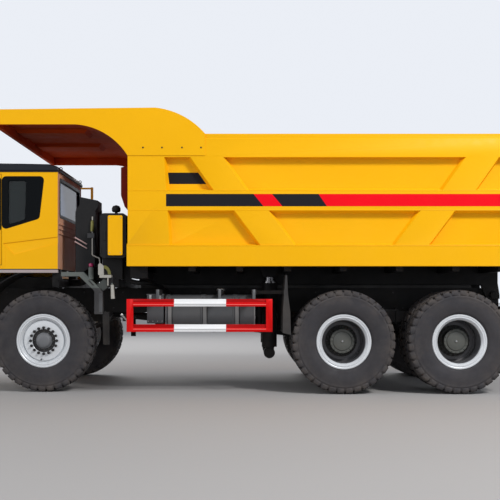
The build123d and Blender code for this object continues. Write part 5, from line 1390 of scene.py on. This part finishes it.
def make_air_dryer():
    """Air dryer behind the tank, on its end plate."""
    x, y, low_z, top_z, r = -0.256, 1.050, 0.960, 1.250, 0.050
    dryer = Shape()
    dryer.rod((x, y, low_z), (x, y, top_z), r, 32)
    dryer.rod((x, y, top_z), (x, y, top_z + 0.040), r, 32, end_radius=0.030)
    dryer.rod((x, y, low_z - 0.025), (x, y, low_z), 0.034, 24, end_radius=r, slot=1)
    dryer.box((x - 0.006, y - r, 1.080), (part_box("fuel_tank")[0].x + 0.006, y + r, 1.180), 1)
    place(dryer.finish("air_dryer", ["black_plastic", "frame_black"], 0.002, 1), "root", "tank_black")


def make_battery_lid():
    """The side box's lid with its two catches and a row of bolts."""
    low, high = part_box("side_box")
    lid = Shape()
    lid.box((low.x - 0.006, 0.895, high.z - 0.008), (high.x + 0.006, high.y + 0.006, high.z + 0.010))
    for x in (low.x + 0.05, high.x - 0.05):
        lid.box((x - 0.016, high.y - 0.002, high.z - 0.075), (x + 0.016, high.y + 0.014, high.z - 0.004), 1)
    add_row(lid, (low.x + 0.02, high.y, 1.02), (0.066, 0, 0), 4, 0.007, 0.005, (0, 1, 0), 1)
    place(lid.finish("battery_lid", ["tank_grey", "fitting_zinc"], 0.002, 1), "root", "tank_black")


# Deck, grille, lamps and ladder
def make_tread_plate():
    """Tread plate on the deck: small lozenges, grown into a row and the row into a field."""
    low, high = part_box("front_deck")
    first_x, first_y, top = 2.69, -1.455, high.z
    corners = ((-0.016, -0.005), (-0.006, -0.012), (0.016, 0.005), (0.006, 0.012))
    lozenge = Shape()
    lozenge.prism([(first_x + x, first_y + y) for x, y in corners], top - 0.001, top + 0.003, "Z")
    seed = lozenge.finish("lozenge", ["deck_plate"])
    row = grown_by(row_tree, "row", "deck_plate", Shape=seed, Count=33, Step=(0.052, 0.0, 0.0))
    field = grown_by(row_tree, "rows", "deck_plate", Shape=row, Count=23, Step=(0.0, 0.050, 0.0))
    tread = Shape()
    tread.add(field)
    tread.box((low.x + 0.004, -1.496, top - 0.001), (high.x - 0.004, -0.264, top + 0.0005))
    place(tread.finish("deck_tread_plate", ["deck_plate"]), "root", "frame_black")


def make_cab_intake():
    """The intake with its slats on the cab's front, and a grab handle at each side."""
    x = cab_front_x
    slat = ((0.0, 0.0), (0.008, -0.004), (0.006, 0.016), (0.0, 0.020))
    face = Shape()
    face.frame(turned_corners(rectangle(0.030, 1.250, 1.900, 2.130), 0.03),
               turned_corners(rectangle(0.055, 1.225, 1.925, 2.105), 0.02), x - 0.004, x + 0.010, "X")
    face.box((x - 0.003, 0.050, 1.920), (x + 0.0012, 1.230, 2.110), 1)
    for z in (1.940, 1.981, 2.022, 2.063):
        face.prism([(x + out, z + up) for out, up in slat], 0.050, 1.230)
    grip_x = x + 0.034
    for y in (-0.090, 1.370):
        face.rod((grip_x, y, 2.000), (grip_x, y, 2.340), 0.011, 16)
        for z in (2.020, 2.320):
            face.rod((x - 0.002, y, z), (grip_x, y, z), 0.009, 12)
            face.rod((x - 0.002, y, z), (x + 0.004, y, z), 0.022, 20)
    place(face.finish("cab_front_intake", ["black_plastic", "hose_black"], 0.002, 1), "root", "black_plastic")


def make_hood_louvres():
    """Pressed louvres in both sides of the hood under the deck."""
    rear_x, front_x, first_z, pitch, height, relief = 3.30, 3.92, 1.78, 0.055, 0.030, 0.012
    louvres = Shape()
    for hood_y, sign in ((-1.440, -1), (-0.300, 1)):
        y_low, y_high = sorted((hood_y, hood_y + sign * relief))
        for z in (first_z + index * pitch for index in range(9)):
            louvres.box((rear_x, y_low, z), (front_x, y_high, z + height))
    place(louvres.finish("hood_louvres", ["body_yellow"], 0.004), "root", "body_yellow")


def make_grille():
    """The grille's slats from the CAD, with a mesh behind them and a frame round it."""
    low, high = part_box("radiator_grille")
    place(softened("radiator_grille", "black_plastic", 0.003), "root", "black_plastic", "radiator_grille")
    frame_low_z, frame_top_z, frame_w = 1.248, 2.272, 0.025
    left, right = low.y + 0.02, high.y - 0.02
    mesh = Shape()
    add_row(mesh, (high.x - 0.018, low.y + 0.06, 1.30), (0, 0.0305, 0), 34, 0.0035, 0.90, (0, 0, 1), 0, 4)
    mesh.frame(rectangle(left, right, frame_low_z, frame_top_z),
               rectangle(left + frame_w, right - frame_w, frame_low_z + frame_w, frame_top_z - frame_w),
               high.x - 0.004, high.x + 0.008, "X")
    place(mesh.finish("grille_mesh", ["fitting_zinc"]), "root", "black_plastic")


def make_head_lamps():
    """Head lamps in the bumper, each a rim and a ribbed lens, with an amber marker outside them."""
    lens, zinc, amber = range(3)
    x, lamp_z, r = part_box("front_bumper")[1].x, 0.950, 0.104
    rim = [(-0.004, r - 0.012), (-0.004, r + 0.004), (0.004, r + 0.004), (0.006, r - 0.004),
           (0.004, r - 0.012)]
    bowl = [(-0.003, 0.0), (-0.003, r - 0.012), (0.000, r - 0.014), (0.004, 0.05), (0.005, 0.0)]
    lights = Shape()
    for sign in (1, -1):
        for y in (1.180, 0.820):
            centre = (x, sign * y, lamp_z)
            lights.lathe(rim, centre, 1, 48, zinc, "X")
            lights.lathe(bowl, centre, 1, 48, lens, "X")
            for rib in range(1, 4):
                rib_r = 0.024 * rib
                crest = [(0.003, rib_r - 0.002), (0.0062 - 0.001 * rib, rib_r), (0.003, rib_r + 0.002)]
                lights.lathe(crest, centre, 1, 48, lens, "X")
        y_low, y_high = y_span(sign, 1.335, 1.43)
        lights.box((x - 0.006, y_low, lamp_z - 0.05), (x + 0.006, y_high, lamp_z + 0.05), amber)
    place(lights.finish("head_lamps", ["lens_white", "fitting_zinc", "lens_amber"]), "root", "lamp_glass")


def make_tail_lamps():
    """Tail lamps: an amber lens between two red ones, on each side."""
    red, amber = range(2)
    x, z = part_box("lamps")[0].x, 1.24
    tails = Shape()
    for sign in (1, -1):
        for y, slot in ((0.615, red), (0.755, amber), (0.895, red)):
            start, end = (x + 0.002, sign * y, z), (x - 0.010, sign * y, z)
            tails.rod(start, end, 0.046, 32, end_radius=0.038, slot=slot)
    place(tails.finish("tail_lamp_lenses", ["lens_red", "lens_amber"], 0.002, 1), "root", "lamp_glass")


def make_bumper_bolts():
    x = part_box("front_bumper")[1].x - 0.001
    bolts = Shape()
    for sign in (1, -1):
        for y in (0.48, 0.34):
            add_row(bolts, (x, sign * y, 0.80), (0, 0, 0.28), 2, 0.016, 0.012, (1, 0, 0))
    place(bolts.finish("bumper_bolts", ["nut_black"]), "root", "frame_black")


def make_ladder_treads():
    """Teeth on the ladder's treads."""
    treads = Shape()
    for z in (0.690, 0.970, 1.250, 1.530):
        for y in (1.345, 1.385, 1.425, 1.465):
            add_row(treads, (3.962, y, z - 0.001), (0.032, 0, 0), 9, 0.008, 0.005, (0, 0, 1))
    place(treads.finish("ladder_treads", ["fitting_zinc"]), "root", "frame_black")


# Below: axles, springs, shafts and pipes
saddle_x = (rear_wheel_places[0].x + rear_wheel_places[1].x) / 2
shaft_rise = 0.030  # the shafts run this far above the wheels' axes
clamp_table = (
    # spring's middle x and y, half spacing of its bolts in x and y, then three groups:
    # bolts (radius, foot, top), bars (half length, height, radius), plate (half length and width, foot, top)
    (front_wheel_place.x, spring_y, 0.085, 0.058, (0.011, 0.672, 0.885), (0.062, 0.880, 0.012),
     (0.12, 0.075, 0.852, 0.874)),
    (saddle_x, saddle_y, 0.10, 0.078, (0.014, 0.955, 1.185), (0.082, 1.178, 0.015),
     (0.14, 0.095, 1.152, 1.176)),
)


def add_spring_clamps(shape, x, y, reach_x, reach_y, bolts, bars, plate):
    """The bolts, bars and plate that hold a spring at its middle."""
    bolt_r, foot_z, top_z = bolts
    bar_half, bar_z, bar_r = bars
    half_x, half_y, plate_low_z, plate_top_z = plate
    for bolt_x in (x - reach_x, x + reach_x):
        for bolt_y in (y - reach_y, y + reach_y):
            shape.rod((bolt_x, bolt_y, foot_z), (bolt_x, bolt_y, top_z), bolt_r, 12)
        shape.rod((bolt_x, y - bar_half, bar_z), (bolt_x, y + bar_half, bar_z), bar_r, 12)
    shape.box((x - half_x, y - half_y, plate_low_z), (x + half_x, y + half_y, plate_top_z))


def make_frame_bolts():
    """Rows of bolts on the rails, and the clamps over the springs, the front ones with nuts below."""
    bolts = Shape()
    for sign in (1, -1):
        y = sign * (rail_y + 0.0002)
        add_row(bolts, (-3.70, y, 1.20), (0.30, 0, 0), 26, 0.014, 0.010, (0, sign, 0))
        add_row(bolts, (-3.55, y, 1.44), (0.60, 0, 0), 13, 0.014, 0.010, (0, sign, 0))
        for clamp_x, clamp_y, *sizes in clamp_table:
            add_spring_clamps(bolts, clamp_x, sign * clamp_y, *sizes)
        front_x, front_y, reach_x, reach_y = clamp_table[0][:4]
        for nut_x in (front_x - reach_x, front_x + reach_x):
            for nut_y in (sign * front_y - reach_y, sign * front_y + reach_y):
                bolts.rod((nut_x, nut_y, 0.655), (nut_x, nut_y, 0.685), 0.020, 6)
    place(bolts.finish("frame_bolts", ["nut_black"]), "root", "frame_black")


def make_axle_housings():
    """Differentials' covers with their bolts, and the flange where the shaft comes in."""
    cover_profile = [(0.198, 0.120), (0.198, 0.238), (0.210, 0.238), (0.214, 0.232), (0.214, 0.120)]
    for number, spot in enumerate(rear_wheel_places, start=1):
        cover = Shape()
        centre = (spot.x, 0.0, tyre_r)
        for face in (1, -1):
            cover.lathe(cover_profile, centre, face, 64)
        nut = hex_nut(0.222, 0.010, 0.213, 0.022)
        ring = grown_by(ring_tree, "cover_bolts", "nut_black", Shape=nut, Count=14)
        spare = bpy.data.objects.new("copy", ring.data)
        cover.add(ring, Matrix.Translation(centre))
        cover.add(spare, Matrix.Translation(centre) @ Matrix.Diagonal((1, -1, 1, 1)))
        shaft_z = tyre_r + shaft_rise
        cover.rod((spot.x + 0.405, 0, shaft_z), (spot.x + 0.432, 0, shaft_z), 0.112, 40)
        place(cover.finish(f"axle_housing_{number}", ["frame_black"], 0.002, 1), "root", "frame_black")


def make_shaft_joints():
    """The propeller shafts' joints: a flange and a cross each."""
    first_x, second_x = (spot.x for spot in rear_wheel_places)
    shaft_z, cross_r = tyre_r + shaft_rise, 0.030
    kit = Shape()
    for x, z, r in ((first_x + 0.50, shaft_z, 0.104), (first_x - 0.36, shaft_z, 0.082),
                    (second_x + 0.48, shaft_z, 0.082), (2.105, 1.120, 0.094)):
        arm = r * 0.86
        kit.rod((x - 0.014, 0, z), (x + 0.014, 0, z), r, 32)
        kit.rod((x, -arm, z), (x, arm, z), cross_r, 20)
        kit.rod((x, 0, z - arm), (x, 0, z + arm), cross_r, 20)
    place(kit.finish("shaft_joints", ["spring_steel"], 0.002, 1), "root", "spring_steel")


def make_hard_pipes():
    """Hard pipes along the rails' inside, and brake pipes along the rear axles."""
    pipes = ((0.452, 1.33, 0.010, "steel_bright"), (0.452, 1.30, 0.010, "steel_bright"),
             (-0.452, 1.33, 0.013, "hose_black"), (-0.452, 1.28, 0.008, "hose_black"))
    for number, (y, z, radius, material) in enumerate(pipes, start=1):
        points = ((3.9, y, z), (2.6, y, z + 0.01), (1.0, y, z), (-1.2, y, z - 0.01), (-2.9, y, z + 0.02))
        place(make_run(f"frame_pipe_{number}", points, radius, material), "root", "frame_black")
    bends = ((0.07, 1.12, 0.105), (0.075, 0.70, 0.108), (0.22, 0.26, 0.13))
    for number, spot in enumerate(rear_wheel_places, start=1):
        right = [(spot.x + out, -y, tyre_r + up) for out, y, up in bends]
        left = [(x, -y, z) for x, y, z in reversed(right)]
        place(make_run(f"axle_pipe_{number}", right + left, 0.007, "steel_bright"), "root", "frame_black")


# Hoist
def make_hoist():
    """Seal rings at the tubes' mouths, on the body that each tube belongs to."""
    hoist_x, hoist_y = -0.420, 0.690
    mouths = (("hoist_barrels", "frame_black", 0.117), ("hoist_stage_1", "hoist_chrome", 0.101),
              ("hoist_stage_2", "hoist_chrome", 0.086))
    for node, material, r in mouths:
        profile = [(-0.015, r - 0.0008), (-0.015, r + 0.003), (-0.003, r + 0.003), (-0.0005, r),
                   (-0.0005, r - 0.0008)]
        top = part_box(node)[1].z
        ring = Shape()
        for sign in (1, -1):
            ring.lathe(profile, (hoist_x, sign * hoist_y, top), 1, 48, 0, "Z")
        place(ring.finish(f"{node}_ring", [material]), node, "frame_black")


# Side guards
def make_side_guards():
    """Red rails with white middles on stepped bars, and bare hangers."""
    rear_x, white_rear_x, white_front_x, front_x = (px_x(column) for column in (266.0, 226, 174, 133.2))
    top_z = 1.337
    guards = softened("side_guards", "guard_red", 0.004)
    cuts = bmesh.new()
    cuts.from_mesh(guards.data)
    for spot, normal in (((white_rear_x, 0, 0), (1, 0, 0)), ((white_front_x, 0, 0), (1, 0, 0)),
                         ((0, 0, top_z), (0, 0, 1))):
        bmesh.ops.bisect_plane(cuts, geom=cuts.verts[:] + cuts.edges[:] + cuts.faces[:], plane_co=spot,
                               plane_no=normal)
    cuts.to_mesh(guards.data)
    cuts.free()
    paint_rules(guards, (
        ("guard_white", lambda spot, normal: white_rear_x < spot.x < white_front_x
         and spot.z < top_z + 0.001),
        ("tank_grey", lambda spot, normal: spot.z > top_z + 0.001),
        # Painted shade: the recessed faces of the red bars get the darker red
        ("guard_red_painted_shade", lambda spot, normal: abs(normal.y) > 0.9 and abs(spot.y) < side_y - 0.008
         and spot.z < top_z and not white_rear_x < spot.x < white_front_x),
    ))
    place(rounded(guards, 0.0), "root", "guard_red", "side_guards")
    # Painted light along the ledges, on the folded edge of each bar: a highlight line on the red stretches and a
    # shade line on the white one
    red, white = range(2)
    stretches = ((rear_x, white_rear_x, red), (white_rear_x, white_front_x, white),
                 (white_front_x, front_x, red))
    ledge = Shape()
    for sign in (1, -1):
        y = sign * (side_y - 0.0015)
        for z in (px_z(304.6), px_z(329.2)):
            for start_x, stop_x, slot in stretches:
                ledge.rod((start_x, y, z), (stop_x, y, z), 0.0045, 8, slot=slot)
    place(ledge.finish("guard_ledges", ["guard_ledge_highlight", "ledge_painted_shade"]), "root", "guard_red")


# Camera, floor and light
def make_floor():
    material, _, shader = new_material("floor")
    shader.inputs["Base Color"].default_value = (0.39, 0.375, 0.365, 1)
    shader.inputs["Roughness"].default_value = 0.9
    half = 60.0
    corners = [(-half, -half, 0), (half, -half, 0), (half, half, 0), (-half, half, 0)]
    data = bpy.data.meshes.new("floor")
    data.from_pydata(corners, [], [(0, 1, 2, 3)])
    data.materials.append(material)
    linked("floor", data)


def make_world():
    """A soft blue-grey light all round, and a brighter plain wall where the camera sees it."""
    world = bpy.data.worlds.new("studio")
    bpy.context.scene.world = world
    world.use_nodes = True
    tree = world.node_tree
    light = tree.nodes["Background"]
    light.inputs["Color"].default_value = (0.80, 0.86, 0.95, 1)
    light.inputs["Strength"].default_value = 0.50
    shown = add_node(tree, "ShaderNodeBackground", {"Color": (0.83, 0.86, 0.92, 1), "Strength": 1.0})
    path = add_node(tree, "ShaderNodeLightPath")
    seen = maths(tree, "MAXIMUM", path.outputs["Is Camera Ray"], path.outputs["Is Glossy Ray"])
    seen = maths(tree, "MAXIMUM", seen, path.outputs["Is Transmission Ray"])
    mixed = add_node(tree, "ShaderNodeMixShader", {0: seen, 1: light.outputs[0], 2: shown.outputs[0]})
    tree.links.new(mixed.outputs[0], tree.nodes["World Output"].inputs["Surface"])


def make_lamps():
    lamps = (
        # name, place, size, watts
        ("key", (-9.0, 12.5, 13.0), 3.2, 2310.0),
        ("fill", (12.0, 10.0, 5.0), 9.0, 420.0),
        ("back", (5.0, -14.0, 11.0), 9.0, 1200.0),
    )
    aim = Vector((0, 0, 1.6))
    for name, spot, size, watts in lamps:
        lamp = bpy.data.lights.new(name, "AREA")
        lamp.shape = "SQUARE"
        lamp.size = size
        lamp.energy = watts
        holder = linked(name, lamp)
        holder.location = spot
        holder.rotation_euler = (aim - Vector(spot)).to_track_quat("-Z", "Y").to_euler()


def make_camera():
    """The photo's view: level, square to the left side, with the horizon below the middle."""
    bpy.context.scene.view_settings.view_transform = "Standard"
    lens = bpy.data.cameras.new("camera")
    lens.lens = 62.2
    lens.sensor_width = 36.0
    lens.shift_y = 0.099
    camera = linked("camera", lens)
    camera.location = (eye_x, eye_y, eye_z)
    camera.rotation_euler = (math.radians(90), 0, math.radians(180))
    bpy.context.scene.camera = camera


def dress_frame():
    """Materials on the CAD nodes that show as they are."""
    for name, node in nodes.items():
        slot = node_slots[name]
        painted(node.data, "tank_grey" if slot == "tank_black" else slot)


def main():
    make_camera()
    make_floor()
    make_world()
    make_lamps()
    dress_frame()
    make_tyres()
    for side, sign in SIDES:
        make_front_rim(side, sign)
        for number, spot in enumerate(rear_wheel_places, start=1):
            make_rear_rims(number, spot, side, sign)
    for step in (
        make_load_body, make_body_welds, make_rest_strips, make_stripes, make_side_guards, round_cad_edges,
        make_cab_panels, make_window_surrounds, make_cab_trim, make_door_fittings, make_wipers_and_mirrors,
        make_seat, make_wheel_bracket, make_platform_fittings, make_drain_tap, make_cabinet_latches,
        make_platform_hoses, make_tank_fittings, make_air_dryer, make_battery_lid, make_tread_plate,
        make_cab_intake, make_hood_louvres, make_grille, make_head_lamps, make_tail_lamps, make_bumper_bolts,
        make_ladder_treads, make_frame_bolts, make_axle_housings, make_shaft_joints, make_hard_pipes,
        make_hoist,
    ):
        step()


main()
